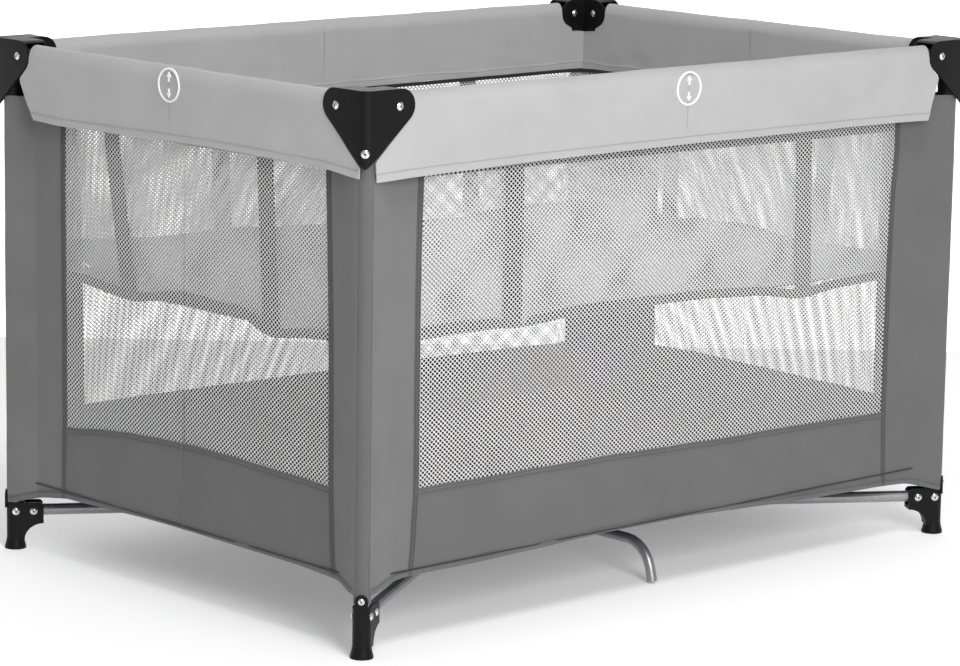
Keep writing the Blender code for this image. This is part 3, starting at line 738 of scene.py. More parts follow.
def dress(thing: bpy.types.Object, body: str, slot: str, *nodes: str) -> bpy.types.Object:
    """Fix a piece to a body and hide the nodes it stands for.

    Args:
        thing: The piece.
        body: Body it moves with.
        slot: Not used.
        nodes: Nodes that it replaces.

    Returns:
        The piece.
    """
    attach(thing, body)
    if nodes:
        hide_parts(*nodes)
    LOG.info("%s rides %s", thing.name, body)
    return thing


# Rigid pieces


@dataclass
class Hardware:
    """Tubes and mouldings: the frame's own shapes with softened edges."""

    bevel: float = 0.0007
    smooth_angle: float = math.radians(38)
    finishes: dict[str, tuple] = field(
        default_factory=lambda: {
            "leg_": (SILVER_TUBE, "silver_tube"),
            "foot_": (BLACK_PLASTIC, "black_plastic"),
            "corner_bracket_": (BLACK_PLASTIC, "black_plastic"),
            "arm_": (SILVER_TUBE, "silver_tube"),
            "support_": (SILVER_TUBE, "silver_tube"),
            "rail_": (SILVER_TUBE, "silver_tube"),
            "latch_": (BLACK_PLASTIC, "black_plastic"),
            "hub": (BLACK_PLASTIC, "black_plastic"),
            "pull_strap": (WEB_CLOTH, "webbing"),
        }
    )

    def build(self, frame: dict) -> None:
        """Make a softened copy of every rigid node.
        """
        bodies = frame["record"]["behaviour"]["bodies"]
        body_of = {name: body for body, names in bodies.items() for name in names}
        for name, node in sorted(frame["nodes"].items()):
            if name.startswith("rail_cover_"):
                continue
            for prefix, (finish, slot) in self.finishes.items():
                if name.startswith(prefix):
                    dress(self.soften(node, finish), body_of[name], slot, name)
                    break

    def soften(self, node: bpy.types.Object, finish: Finish) -> bpy.types.Object:
        """Copy a node with welded vertices, smooth faces and rounded edges.

        Args:
            node: The frame's object.
            finish: Finish of the copy.

        Returns:
            The copy.
        """
        shape = bmesh.new()
        shape.from_mesh(node.data)
        bmesh.ops.remove_doubles(shape, verts=shape.verts, dist=1e-6)
        bmesh.ops.dissolve_limit(shape, angle_limit=math.radians(0.5), verts=shape.verts, edges=shape.edges)
        mesh = bpy.data.meshes.new(f"look_{node.name}")
        shape.to_mesh(mesh)
        shape.free()
        mesh.polygons.foreach_set("use_smooth", np.ones(len(mesh.polygons), dtype=bool))
        mesh.set_sharp_from_angle(angle=self.smooth_angle)
        mesh.materials.clear()
        mesh.materials.append(Finishes.get(finish))
        thing = bpy.data.objects.new(f"look_{node.name}", mesh)
        bpy.context.scene.collection.objects.link(thing)
        edge = thing.modifiers.new("edge", "BEVEL")
        edge.width = self.bevel
        edge.segments = 2
        edge.limit_method = "ANGLE"
        edge.angle_limit = self.smooth_angle
        return thing


@dataclass
class Fasteners:
    """Washer-head screws on brackets and feet."""

    sizes: YardSizes
    shell: float = 0.018
    pivot: float = 0.0375
    tip_drop: float = 0.0765
    tab_z: float = 0.0745
    tab_out: float = 0.0131
    ear: tuple[float, float] = (0.0535, 0.0116)
    foot_pivot: float = 0.025
    post_screw: float = 0.0006
    arm_inset: float = 0.06
    corner_r: float = 0.012
    tab_scale: float = 0.85
    head_scale: float = 1.06
    sides: int = 28

    def head(self, name: str, at: Vector, out: Vector, scale: float = 1.0) -> bpy.types.Object:
        """Turn one screw head on a lathe.

        Args:
            name: Name of the object.
            at: Point on the seat's face.
            out: Direction the head faces.
            scale: Size against a 10 mm head.

        Returns:
            The object.
        """
        rim = [(0.0, -0.0004), (4.9, -0.0004), (5.0, 0.3), (4.8, 0.7), (3.9, 0.9), (3.6, 1.3)]
        dome = [(3.0, 2.0), (2.2, 2.3)]
        bowl = [(1.7, 2.2), (1.5, 1.5), (0.7, 1.1), (0.0, 1.0)]
        profile = [(radius * 0.001 * scale, height * 0.001 * scale) for radius, height in rim + dome + bowl]
        sides = self.sides
        turns = np.arange(sides) * 2 * math.pi / sides
        rings = []
        vertices = []
        for radius, height in profile:
            if radius == 0.0:
                rings.append([len(vertices)] * sides)
                vertices.append((0.0, 0.0, height))
                continue
            rings.append(list(range(len(vertices), len(vertices) + sides)))
            vertices += [(radius * math.cos(t), radius * math.sin(t), height) for t in turns]
        faces = []
        for first, second in zip(rings, rings[1:]):
            for step in range(sides):
                after = (step + 1) % sides
                loop = dict.fromkeys([first[step], first[after], second[after], second[step]])
                faces.append(list(loop))
        turn = out.normalized().to_track_quat("Z", "Y").to_matrix()
        spots = np.array([turn @ Vector(vertex) + at for vertex in vertices])
        thing = add_mesh(name, spots, faces, SCREW_STEEL)
        # The recess faces take the painted-shade colour instead of steel.
        thing.data.materials.append(Finishes.get(RECESS_SHADE))
        deep = len(faces) - sides * (len(bowl) - 1)
        marks = np.zeros(len(faces), dtype=np.int32)
        marks[deep:] = 1
        thing.data.polygons.foreach_set("material_index", marks)
        return thing

    def build(self) -> None:
        """Set the screws of every corner."""
        for side in half_sides(self.sizes):
            if side.long_side:
                self.corner(side)

    def corner(self, side: HalfSide) -> None:
        """Set the screws of one corner.

        Args:
            side: Long half side at the corner.
        """
        sx, sy, leg = side.sign_x, side.sign_y, side.leg
        high = Vector((0, 0, self.sizes.rail_z))
        seats = {
            "outer_long": ((-sx * self.pivot, sy * self.shell, 0), (0, sy, 0)),
            "outer_short": ((sx * self.shell, -sy * self.pivot, 0), (sx, 0, 0)),
            "inner_long": ((-sx * self.pivot, -sy * self.shell, 0), (0, -sy, 0)),
            "inner_short": ((-sx * self.shell, -sy * self.pivot, 0), (-sx, 0, 0)),
        }
        spots = [(label, leg + high + Vector(at), Vector(out)) for label, (at, out) in seats.items()]
        slant = Vector((sx, sy, 0)).normalized()
        reach = self.shell * math.sqrt(2) - self.corner_r * (math.sqrt(2) - 1)
        low = Vector((0, 0, self.sizes.top - self.tip_drop))
        spots.append(("tip", leg + low + slant * reach, slant))
        spots.append(("tab", leg + Vector((0, 0, self.tab_z)) + slant * self.tab_out, slant))
        arm_x, arm_y = self.sizes.half_long - self.arm_inset, self.sizes.half_short - self.arm_inset
        way = Vector((-sx * arm_x, -sy * arm_y, 0)).normalized()
        face = Vector((-way.y, way.x, 0))
        for mark, turn in (("a", 1), ("b", -1)):
            for spot, far in (("ear", self.foot_pivot), ("post", self.post_screw)):
                at = leg + way * far + face * turn * self.ear[1] + Vector((0, 0, self.ear[0]))
                spots.append((f"{spot}_{mark}", at, face * turn))
        for label, at, out in spots:
            scale = self.tab_scale if label == "tab" else self.head_scale
            thing = self.head(f"screw_{label}_{side.corner}", at, out, scale)
            dress(thing, f"corner_{side.corner}", "silver_tube")


# Rail covers


class Fold(IntEnum):
    """Which stretch of a rail cover a row belongs to."""

    OUTER = 0
    TOP = 1
    INNER = 2


@dataclass
class RailCover:
    """One half of a padded rail cover: a sleeve over the rail with two hanging flaps."""

    side: HalfSide
    thickness: float = 0.0018
    inner_low: float = 0.6015
    gap: float = 0.0010
    tuck: float = 0.002
    lobe: tuple[float, float] = (0.041, 0.021)
    lobe_turn: float = math.radians(-50)
    shell: float = 0.018
    cheek_drop: float = 0.0495
    tip_drop: float = 0.099
    cut: float = 0.225
    end_trim: float = 0.045
    proud: float = 0.0012
    top_sag: float = 0.0006
    edge_wave: float = 0.002
    flap_wave: float = 0.0022
    calm_reach: float = 0.06
    hem_step: float = 0.0007
    hem_share: float = 0.125
    calm_share: float = 0.8
    calm_start: float = 0.02
    anchor_at: float = 0.2
    columns: int = 150
    overlap: float = 0.0006
    keep: float = 0.4

    def bracket_edge(self, height: float) -> float:
        """Find how far the bracket's outer cheek reaches.

        Args:
            height: Height over the floor.

        Returns:
            Distance from the leg's axis.
        """
        top = self.side.sizes.top
        at, radius = self.lobe
        lobe_z = top - radius
        low = (at + radius * math.cos(self.lobe_turn), lobe_z + radius * math.sin(self.lobe_turn))
        if height >= low[1]:
            return at + math.sqrt(radius**2 - min(abs(height - lobe_z), radius) ** 2)
        share = (height - (top - self.tip_drop)) / (low[1] - (top - self.tip_drop))
        return -self.shell + share * (low[0] + self.shell)

    def profile(self) -> list[tuple[Fold, float, float]]:
        """List the rows of the cover from the outer flap's lower edge to the inner one's.

        Returns:
            Each row's stretch, its share of the way up the flap and its angle over the rail.
        """
        down = np.concatenate([np.linspace(0, 0.12, 4), np.linspace(0.135, 1, 22)])
        outer = [(Fold.OUTER, share, math.pi) for share in down]
        top = [(Fold.TOP, 0.0, angle) for angle in np.linspace(math.pi, 0.0, 18)[1:-1]]
        return outer + top + [(Fold.INNER, share, 0.0) for share in down[::-1]]

    def build(self) -> None:
        """Build the cover and its stitching."""
        side = self.side
        t = np.linspace(0.0, 1.0, self.columns)
        ease = t**1.6 * 0.35 + t * 0.65
        grid = np.array([self.row(*spot, ease) for spot in self.profile()])
        thing = add_sheet(f"cover_{side.name}", grid, self.thickness, COVER_CLOTH)
        dress(thing, f"rail_{side.name}", "light_cloth", f"rail_cover_{side.name}")
        f"look_rail_{side.name}"
        self.flatten(thing)
        out = side.out
        rows = [stitch_row(grid[3] + out * self.proud, out), stitch_row(grid[-4] - out * self.proud, -out)]
        thread = add_stitches(f"cover_stitches_{side.name}", rows, LIGHT_THREAD)
        dress(thread, f"rail_{side.name}", "light_cloth")
        self.flatten(thread)

    def row(self, fold: Fold, share: float, turn: float, ease: np.ndarray) -> np.ndarray:
        """Return one row of points along the rail.

        Args:
            fold: Stretch of the cover.
            share: How far up the flap, from its lower edge.
            turn: Angle over the rail.
            ease: Places from the bracket to the middle, 0 to 1.

        Returns:
            Points of the row.
        """
        side = self.side
        radius, axis_z = side.sizes.cover_r - self.thickness / 2, side.sizes.cover_z
        base = side.cover_middle if fold is Fold.OUTER else self.inner_low
        if fold is Fold.TOP:
            height = axis_z + radius * math.sin(turn)
            start = self.bracket_edge(height) + self.gap
        else:
            height = base + (axis_z - base) * share
            start = self.start(fold, height)
        along = start + (side.length + self.overlap - start) * ease
        run = side.run(along)
        if fold is Fold.TOP:
            inward = np.full_like(along, radius * math.cos(turn))
            sag = self.top_sag * ripple(run, inward * 3, 1.0 + side.long_side)
            return side.place(along, inward + sag * math.cos(turn), height + sag * math.sin(turn))
        if fold is Fold.OUTER:
            low = curve_at(side.shape.cover_low, run)
        else:
            low = self.inner_low + self.edge_wave * ripple(run, run * 0, 5.0)
        up = low + (axis_z - low) * share
        free = self.flap_wave * (1 - share) ** 1.2
        wave = free * ripple(run, up * 1.5, 2.0 + fold + 3 * side.long_side)
        calm = 1 - np.exp(-((along - side.length) / self.calm_reach) ** 2) * self.calm_share
        if fold is Fold.INNER:
            calm = calm * np.clip((along - self.calm_start) / self.calm_reach, 0, 1)
        hem = self.hem_step if share <= self.hem_share else 0.0
        depth = radius - self.tuck * (1 - share) + wave * calm + hem
        return side.place(along, -depth if fold is Fold.OUTER else depth, up)

    def start(self, fold: Fold, height: float) -> float:
        """Find where a flap starts.

        Args:
            fold: Stretch of the cover.
            height: Height over the floor.

        Returns:
            Distance from the leg's axis.
        """
        sizes, shape = self.side.sizes, self.side.shape
        if fold is Fold.INNER:
            drop = sizes.top - height
            if drop > self.cheek_drop:
                share = (height - self.inner_low) / (sizes.cover_z - self.inner_low)
                return sizes.cover_r - self.thickness - self.tuck * (1 - share)
            at, radius = self.lobe
            rise = min(max(0.0, drop - radius), radius)
            return at + math.sqrt(radius**2 - rise**2) + self.gap
        places, values = zip(*(shape.near_end if self.side.near else shape.far_end))
        return max(self.bracket_edge(height) + self.gap, float(np.interp(height, places, values)))

    def flatten(self, thing: bpy.types.Object) -> None:
        """Give a piece its own copy of its mesh."""
        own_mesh(thing)


# Heights of the icons on the front and on the left cover.
ICON_HEIGHTS = (0.677, 0.681)


@dataclass
class RingIcon:
    """Printed ring with an arrow up and an arrow down, at the middle of a cover."""

    side: HalfSide
    centre_z: float
    radius: float = 0.0224
    stroke: float = 0.0023
    lift: float = 0.0013
    sunk: float = 0.0006
    bend: float = 0.45

    def build(self) -> None:
        """Build the icon."""
        vertices, faces, count = [], [], 0
        for spots, loops in [self.ring()] + [self.arrow(way) for way in (1, -1)]:
            vertices.append(spots)
            faces += [[number + count for number in loop] for loop in loops]
            count += len(spots)
        flat = np.concatenate(vertices)
        side, sizes = self.side, self.side.sizes
        high = self.centre_z + flat[:, 1]
        drop = sizes.cover_z - high
        share = np.clip(1 - drop / (sizes.cover_z - side.cover_middle), 0, 1)
        angle = np.clip(-drop, 0, None) / sizes.cover_r * self.bend
        layers = []
        for lift in (self.lift, -self.sunk):
            radius = sizes.cover_r + lift
            depth = np.where(drop > 0, radius - RailCover.tuck * (1 - share), radius * np.cos(angle))
            layers.append(side.place(side.length + flat[:, 0], -depth, high))
        every = faces + [[number + count for number in loop[::-1]] for loop in faces]
        edges = dict.fromkeys(pair for loop in faces for pair in zip(loop, loop[1:] + loop[:1]))
        for first, second in edges:
            if (second, first) not in edges:
                every.append([second, first, first + count, second + count])
        uv = np.concatenate([flat, flat])
        thing = add_mesh(f"icon_{side.wall}", np.concatenate(layers), every, ICON_PRINT, uv)
        dress(thing, f"latch_{side.wall}", "light_cloth")

    def ring(self) -> tuple[np.ndarray, list]:
        """Draw the flat ring.

        Returns:
            Points and faces.
        """
        sides = 72
        turns = np.arange(sides) * 2 * math.pi / sides
        spread = np.stack([np.cos(turns), np.sin(turns)], axis=1)
        spots = np.concatenate([spread * self.radius, spread * (self.radius - self.stroke)])
        faces = []
        for step in range(sides):
            after = (step + 1) % sides
            faces.append([step, after, after + sides, step + sides])
        return spots, faces

    def arrow(self, way: int) -> tuple[np.ndarray, list]:
        """Draw one flat arrow.

        Args:
            way: 1 for up, -1 for down.

        Returns:
            Points and faces.
        """
        base, neck, tip, stem, barb = 0.0045, 0.0105, 0.0165, 0.0012, 0.0042
        shaft = [(-stem, base), (stem, base), (stem, neck), (-stem, neck)]
        spots = np.array(shaft + [(barb, neck), (0.0, tip), (-barb, neck)])
        spots[:, 1] *= way
        faces = [[0, 1, 2, 3], [3, 2, 4, 5, 6]]
        return spots, faces if way > 0 else [face[::-1] for face in faces]


# Walls


@dataclass
class LegSleeve:
    """Cloth sleeve sewn round a leg."""

    side: HalfSide
    radius: float = 0.0107
    thickness: float = 0.0012
    girth: float = 0.068
    crease: float = 0.00035
    low: float = 0.0700
    high: float = 0.632

    def build(self) -> None:
        """Build the sleeve."""
        leg, corner = self.side.leg, self.side.corner
        heights = np.linspace(self.low, self.high, 90)
        up, turn = np.meshgrid(heights, np.linspace(0, 2 * math.pi, 40, endpoint=False), indexing="ij")
        seed = self.side.sign_x + 2.0 * self.side.sign_y
        reach = self.radius + self.crease * ripple(up, np.cos(turn) * 0.05, seed)
        grid = np.stack([leg.x + reach * np.cos(turn), leg.y + reach * np.sin(turn), up], axis=-1)
        thing = add_sheet(f"sleeve_{corner}", grid, self.thickness, DARK_CLOTH, loop=True)
        dress(thing, f"corner_{corner}", "dark_cloth", f"corner_panel_{corner}")


@dataclass
class WallHalf:
    """Cloth of half a wall: corner wing, lower band, bindings, hem and net window."""

    side: HalfSide
    inset: float = 0.006
    cloth: float = 0.0016
    binding: float = 0.0088
    wing_top: float = 0.632
    near_bend: float = 0.060
    overlap: float = 0.0006
    near_start: float = 0.0020
    far_start: float = -0.001
    near_lap: float = 0.0110
    far_lap: float = 0.0112
    wing_cut: float = 0.54
    band_cut: float = 0.107
    net_low: float = 0.17
    net_top: float = 0.628
    net_sill: float = 0.195
    net_solid: float = 0.52
    side_lap: float = 0.004
    sill_lap: float = 0.005
    wave: float = 0.0011
    calm_start: float = 0.03
    calm_reach: float = 0.1
    band_wave: float = 0.0008
    band_from: float = 0.08
    band_lap: float = 0.006
    wing_reach: float = 0.09
    wing_lap: float = 0.003
    post_lift: float = 0.0005
    hem_start: float = 0.0040
    tape_thick: float = 0.0026
    tape_crown: float = 0.0004
    hem_tape: float = 0.0090
    hem_lift: float = 0.0085
    proud: float = 0.0017
    keep_long: float = 0.189
    keep_short: float = 0.235
    knit: Knit = Knit()

    def build(self) -> None:
        """Build all the cloth of this half."""
        self.wing()
        self.band()
        self.net()

    def fix(self, thing: bpy.types.Object, slot: str, *nodes: str) -> bpy.types.Object:
        """Ride the leg and take its own copy of its mesh.

        Args:
            thing: The piece.
            slot: Slot of the record.
            nodes: Nodes it stands for.

        Returns:
            The piece.
        """
        dress(thing, f"corner_{self.side.corner}", slot, *nodes)
        tuple(self.side.along)
        tuple(self.side.leg)
        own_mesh(thing)
        return thing

    def depth(self, along: np.ndarray, up: np.ndarray) -> np.ndarray:
        """Find how far inside the legs' plane the cloth runs.

        Args:
            along: Distances from the leg.
            up: Heights over the floor.

        Returns:
            Distances into the yard.
        """
        side = self.side
        run = side.run(along)
        soft = np.clip((along - self.calm_start) / self.calm_reach, 0, 1)
        wave = self.wave * soft * ripple(run, up, 0.7 + 2 * side.long_side + side.sign_y)
        flat = self.inset + wave
        if side.near:
            share = np.clip(along / self.near_bend, 0, 1)
            return flat - (self.inset + self.near_lap) * (1 - share) ** 2 * (1 + 2 * share)
        seam = side.shape.far_seam
        share = np.clip(along / seam, 0, 1)
        return np.where(along < seam, (self.far_lap + self.inset) * share**1.25 - self.far_lap, flat)

    def hem_at(self, along: np.ndarray) -> np.ndarray:
        """Return the height of the hem."""
        return curve_at(self.side.shape.hem, self.side.run(along), 0.012)

    def band_at(self, along: np.ndarray) -> np.ndarray:
        """Find the height of the band's top.

        Args:
            along: Distances from the leg.

        Returns:
            Heights over the floor.
        """
        run = self.side.run(along)
        shape = self.side.shape
        knots = shape.hidden_band_top if self.side.wall in ("back", "right") else shape.band_top
        return curve_at(knots, run) + self.band_wave * ripple(run, run * 0, 3.0)

    def wing(self) -> None:
        """Build the wing beside the leg."""
        side = self.side
        share_up = np.linspace(0, 1, 120)[:, None]
        share = np.linspace(0, 1, 26)[None, :]
        start = self.near_start if side.near else self.far_start
        low = self.hem_at(start + self.wing_reach * share)
        up = low + (self.wing_top - low) * share_up
        edge = side.edge(up) - self.wing_lap
        along = start + (edge - start) * share
        grid = side.place(along, self.depth(along, up), up)
        # Painted light: near wings and short far wings take the lighter copy of the dark cloth.
        finish = LIT_WING_CLOTH if side.near or not side.long_side else DARK_CLOTH
        thing = add_sheet(f"wing_{side.name}", grid, self.cloth, finish)
        self.fix(thing, "dark_cloth", f"corner_panel_{side.corner}")
        f"sleeve_{side.corner}"

    def band(self) -> None:
        """Build the lower band from the wing to the middle."""
        side = self.side
        share_up = np.linspace(0, 1, 26)[:, None]
        share = np.linspace(0, 1, 130)[None, :]
        guess = self.band_from + (side.length - self.band_from) * share
        up = self.hem_at(guess) + (self.band_at(guess) - self.hem_at(guess)) * share_up
        start = side.edge(up) - self.band_lap
        along = start + (side.length + self.overlap - start) * share
        low, high = self.hem_at(along), self.band_at(along)
        up = low + (high - low) * share_up
        grid = side.place(along, self.depth(along, up), up)
        thing = add_sheet(f"band_{side.name}", grid, self.cloth, DARK_CLOTH)
        self.fix(thing, "dark_cloth", f"net_{side.name}")
        trims = self.trims()
        f"wing_{side.name}"

    def tape(
        self, name: str, along: np.ndarray, up: np.ndarray, width: tuple[float, float], finish: ClothFinish
    ) -> tuple:
        """Build a proud tape along a line.

        Args:
            name: Name of the piece.
            along: Distances from the leg of the tape's edge.
            up: Heights of the tape's edge.
            width: Width toward the leg and width downward.
            finish: Finish of the tape.

        Returns:
            The tape and the two stitch rows on it.
        """
        side = self.side
        share = np.linspace(0, 1, 5)[None, :]
        spots = along[:, None] - width[0] * share
        heights = up[:, None] - width[1] * share
        crown = self.tape_crown * np.sin(np.pi * share)
        inward = self.depth(spots, heights) - crown
        grid = side.place(spots, inward, heights)
        thing = add_sheet(name, grid, self.tape_thick, finish)
        rows = [stitch_row(grid[:, pick] + side.out * self.proud, side.out) for pick in (1, 3)]
        return thing, rows

    def trims(self) -> list[bpy.types.Object]:
        """Build the bindings of the window and the hem, with their stitching.

        Returns:
            The pieces.
        """
        side, name, binding = self.side, self.side.name, self.binding
        spots = np.linspace(0, 1, 140)
        low = float(self.hem_at(np.array([0.1]))[0])
        up = low + self.post_lift + (self.wing_top - low) * spots
        post, rows = self.tape(f"tape_post_{name}", side.edge(up), up, (binding, 0.0), BINDING_CLOTH)
        start = float(side.edge(np.array([0.19]))[0]) - self.side_lap
        along = start + (side.length + self.overlap - start) * spots
        sill, more = self.tape(f"tape_sill_{name}", along, self.band_at(along), (0.0, binding), DARK_CLOTH)
        near = self.hem_start if side.near else 0.0
        along = near + (side.length + self.overlap - near) * spots
        up = self.hem_at(along) + self.hem_lift
        hem, last = self.tape(f"tape_hem_{name}", along, up, (0.0, self.hem_tape), DARK_CLOTH)
        thread = add_stitches(f"wall_stitches_{name}", rows + more + last[:1], DARK_THREAD)
        return [self.fix(thing, "dark_cloth") for thing in (post, sill, hem, thread)]

    def net(self) -> None:
        """Build the net window of this half."""
        side, top = self.side, self.net_top

        def keep(run: np.ndarray, up: np.ndarray) -> np.ndarray:
            """Tell which holes lie in the window.

            Args:
                run: Places along the whole wall.
                up: Heights over the floor.

            Returns:
                True for each hole to keep.
            """
            along = side.from_leg(run)
            inside = (along > side.edge(up) - self.side_lap) & (up < top)
            inside &= up > self.band_at(along) - self.sill_lap
            return inside & ((run < -1e-6) if side.near else (run >= -1e-6))

        ends = (-side.length, 0.0) if side.near else (0.0, side.length)
        flat, faces = self.knit.cells((ends[0], self.net_low), (ends[1], top), keep)
        along = side.from_leg(flat[:, 0])
        spots = side.place(along, self.depth(along, flat[:, 1]), flat[:, 1])
        thing = add_mesh(f"mesh_{side.name}", spots, faces, NET_THREAD, uv=flat, turn=False)
        self.fix(thing, "outer_net", f"net_{side.name}")
        width = side.length - float(np.mean(side.edge(np.array([0.25, 0.4, 0.55]))))
        f"band_{side.name}"


# Floor and bassinet


@dataclass
class FloorCloth:
    """Cloth floor in four quarters that fold up with the base arms."""

    sizes: YardSizes
    thickness: float = 0.0016
    inset: float = 0.0035
    sag: float = 0.0011
    lift: float = 0.0004
    trim_from: float = 1.955
    trim: float = 0.5
    keep: float = 0.2

    def build(self) -> None:
        """Build the four quarters."""
        for side in half_sides(self.sizes):
            if side.long_side:
                self.quarter(side)

    def quarter(self, side: HalfSide) -> None:
        """Build one quarter.

        Args:
            side: Long half side at the quarter's corner.
        """
        sx, sy = side.sign_x, side.sign_y
        half_x, half_y = self.sizes.half_long - self.inset, self.sizes.half_short - self.inset
        share_x, share_y = np.meshgrid(np.linspace(0, 1, 60), np.linspace(0, 1, 44), indexing="ij")
        x, y = half_x * share_x, half_y * share_y
        cut = np.clip(x / half_x + y / half_y - self.trim_from, 0, None) * self.trim
        x, y = x * (1 - cut), y * (1 - cut)
        sag = self.sag * ripple(sx * x, sy * y, 4.0) * np.minimum(1, 8 * (1 - np.maximum(share_x, share_y)))
        up = self.sizes.floor_top - self.thickness / 2 + sag + self.lift
        grid = np.stack([sx * x, sy * y, up], axis=-1)
        thing = add_sheet(f"floor_{side.corner}", grid, self.thickness, FLOOR_CLOTH)
        dress(thing, f"arm_{side.corner}", "dark_cloth", "floor_panel")
        way = Vector((sx * half_x, sy * half_y, 0)).normalized()
        axis, anchor = (-way.y, way.x, 0.0), (0.0, 0.0, self.sizes.floor_top)
        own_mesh(thing)
        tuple(axis)
        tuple(anchor)


@dataclass
class Bassinet:
    """Lift-out insert: net walls, bindings, hangers and a padded mattress."""

    sizes: YardSizes
    inset: float = 0.026
    corner: float = 0.030
    top: float = 0.600
    low: float = 0.376
    cloth: float = 0.0018
    strap: float = 0.031
    strap_length: float = 0.37
    strap_thick: float = 0.0014
    rail_r: float = 0.0095
    hook_gap: float = 0.0018
    hook_end: float = 0.004
    strap_start: float = 0.002
    strap_bend: float = 0.010
    strap_out: float = 0.0016
    net_inset: float = 0.001
    net_wave: float = 0.0016
    net_low: float = 0.35
    net_solid: float = 0.5
    net_over_hem: float = 0.004
    net_under_top: float = 0.002
    hem_mean: float = 0.383
    tape_lap: float = 0.002
    tape_wave: float = 0.0012
    top_rise: float = 0.0045
    top_drop: float = 0.0005
    front_sink: tuple[float, float] = (0.008, 0.005)
    floor_lift: float = 0.010
    floor_gap: float = 0.001
    floor_wave: float = 0.001
    pad_base: float = 0.0125
    pad_rim: float = 0.012
    pad_groove: float = 0.009
    pad_fold: float = 0.75
    pad_edge: float = 0.35
    pad_tuft: float = 0.0008
    pad_round: float = 0.012
    pad_fill: float = 0.7
    hem: float = 0.0125
    tape_thick: float = 0.0030
    knit: Knit = Knit(pitch=0.0070, rise=0.0060, hole=0.68, round_holes=False)
    hem_long: Knots = (
        (-0.55, 0.382), (-0.416, 0.389), (-0.32, 0.388), (-0.253, 0.381), (-0.147, 0.388), (0.076, 0.384),
        (0.20, 0.376), (0.273, 0.363), (0.34, 0.371), (0.448, 0.374), (0.55, 0.376),
    )
    hem_short: Knots = (
        (-0.38, 0.381), (-0.271, 0.383), (-0.222, 0.3795), (-0.177, 0.372), (-0.15, 0.371), (-0.124, 0.381),
        (-0.088, 0.392), (-0.061, 0.389), (0.002, 0.393), (0.037, 0.392), (0.072, 0.386), (0.133, 0.376),
        (0.182, 0.380), (0.25, 0.3866), (0.38, 0.384),
    )
    straps: dict[str, tuple] = field(
        default_factory=lambda: {
            "front": ((-0.281, -0.2685), (0.2535, 0.276)),
            "back": ((-0.286, -0.287), (0.190, 0.190)),
            "left": ((-0.161, -0.139), (0.1615, 0.159)),
            "right": ((-0.161, -0.150), (0.161, 0.150)),
        }
    )
    pad_lift: Knots = (
        (-0.50, 0.034), (-0.45, 0.032), (-0.39, 0.026), (-0.31, 0.021), (-0.21, 0.025), (-0.14, 0.018),
        (-0.05, 0.013), (0.03, 0.009), (0.10, 0.0), (0.19, -0.008), (0.35, -0.006), (0.42, 0.0),
        (0.50, 0.003),
    )

    @property
    def halves(self) -> tuple[float, float]:
        """Half lengths of the straight stretches of a long and a short wall."""
        trim = self.inset + self.corner
        return self.sizes.half_long - trim, self.sizes.half_short - trim

    @property
    def bend(self) -> float:
        """Length of the ring round one corner."""
        return self.corner * math.pi / 2

    def ring(self, run: np.ndarray) -> np.ndarray:
        """Turn distances round the walls into places in plan.

        Args:
            run: Distances from the middle of the front wall, to the right.

        Returns:
            Points in plan, with a last axis of two.
        """
        half_x, half_y = self.halves
        run = np.mod(run, 4 * (half_x + half_y + self.bend))
        spots = np.empty(run.shape + (2,))
        lengths = (half_x, 2 * half_y, 2 * half_x, 2 * half_y, half_x)
        outs = np.array([(0.0, -1.0), (1.0, 0.0), (0.0, 1.0), (-1.0, 0.0), (0.0, -1.0)])
        begin = 0.0
        where = np.array([0.0, -half_y - self.corner])
        for length, out in zip(lengths, outs):
            way = np.array([-out[1], out[0]])
            inside = (run >= begin) & (run <= begin + length)
            spots[inside] = where + (run[inside] - begin)[:, None] * way
            begin += length
            centre = where + length * way - out * self.corner
            turn = (run > begin) & (run < begin + self.bend)
            angle = (run[turn] - begin)[:, None] / self.corner
            spots[turn] = centre + self.corner * (np.cos(angle) * out + np.sin(angle) * way)
            begin += self.bend
            where = centre + self.corner * way
        return spots

    def walls(self) -> list[tuple[str, float, float]]:
        """List the walls.

        Returns:
            Each wall's name, middle and half length along the ring.
        """
        step = sum(self.halves) + self.bend
        names = ("front", "right", "back", "left")
        return [(name, turn * step, self.halves[turn % 2] + self.bend / 2) for turn, name in enumerate(names)]

    def hem_at(self, name: str, run: np.ndarray) -> np.ndarray:
        """Find the height of the wavy hem.

        Args:
            name: Name of the wall.
            run: Places along the wall.

        Returns:
            Heights over the floor.
        """
        if name in ("front", "back"):
            return curve_at(self.hem_long, run, 0.022)
        return curve_at(self.hem_short, -run, 0.014)

    def build(self) -> None:
        """Build the whole insert."""
        for name, middle, half in self.walls():
            self.wall(name, middle, half)
        self.base()
        self.pad()

    def dress(self, thing: bpy.types.Object, slot: str, *nodes: str) -> bpy.types.Object:
        """Ride the insert's body."""
        return dress(thing, "bassinet", slot, *nodes)

    def wall(self, name: str, middle: float, half: float) -> None:
        """Build one net wall with its bindings and hangers.

        Args:
            name: Name of the wall.
            middle: Middle of the wall on the ring.
            half: Half its length.
        """

        def keep(run: np.ndarray, up: np.ndarray) -> np.ndarray:
            """Tell which holes lie in the wall."""
            inside = (np.abs(run) < half) & (up < self.top - self.net_under_top)
            return inside & (up > self.hem_at(name, run) + self.net_over_hem)

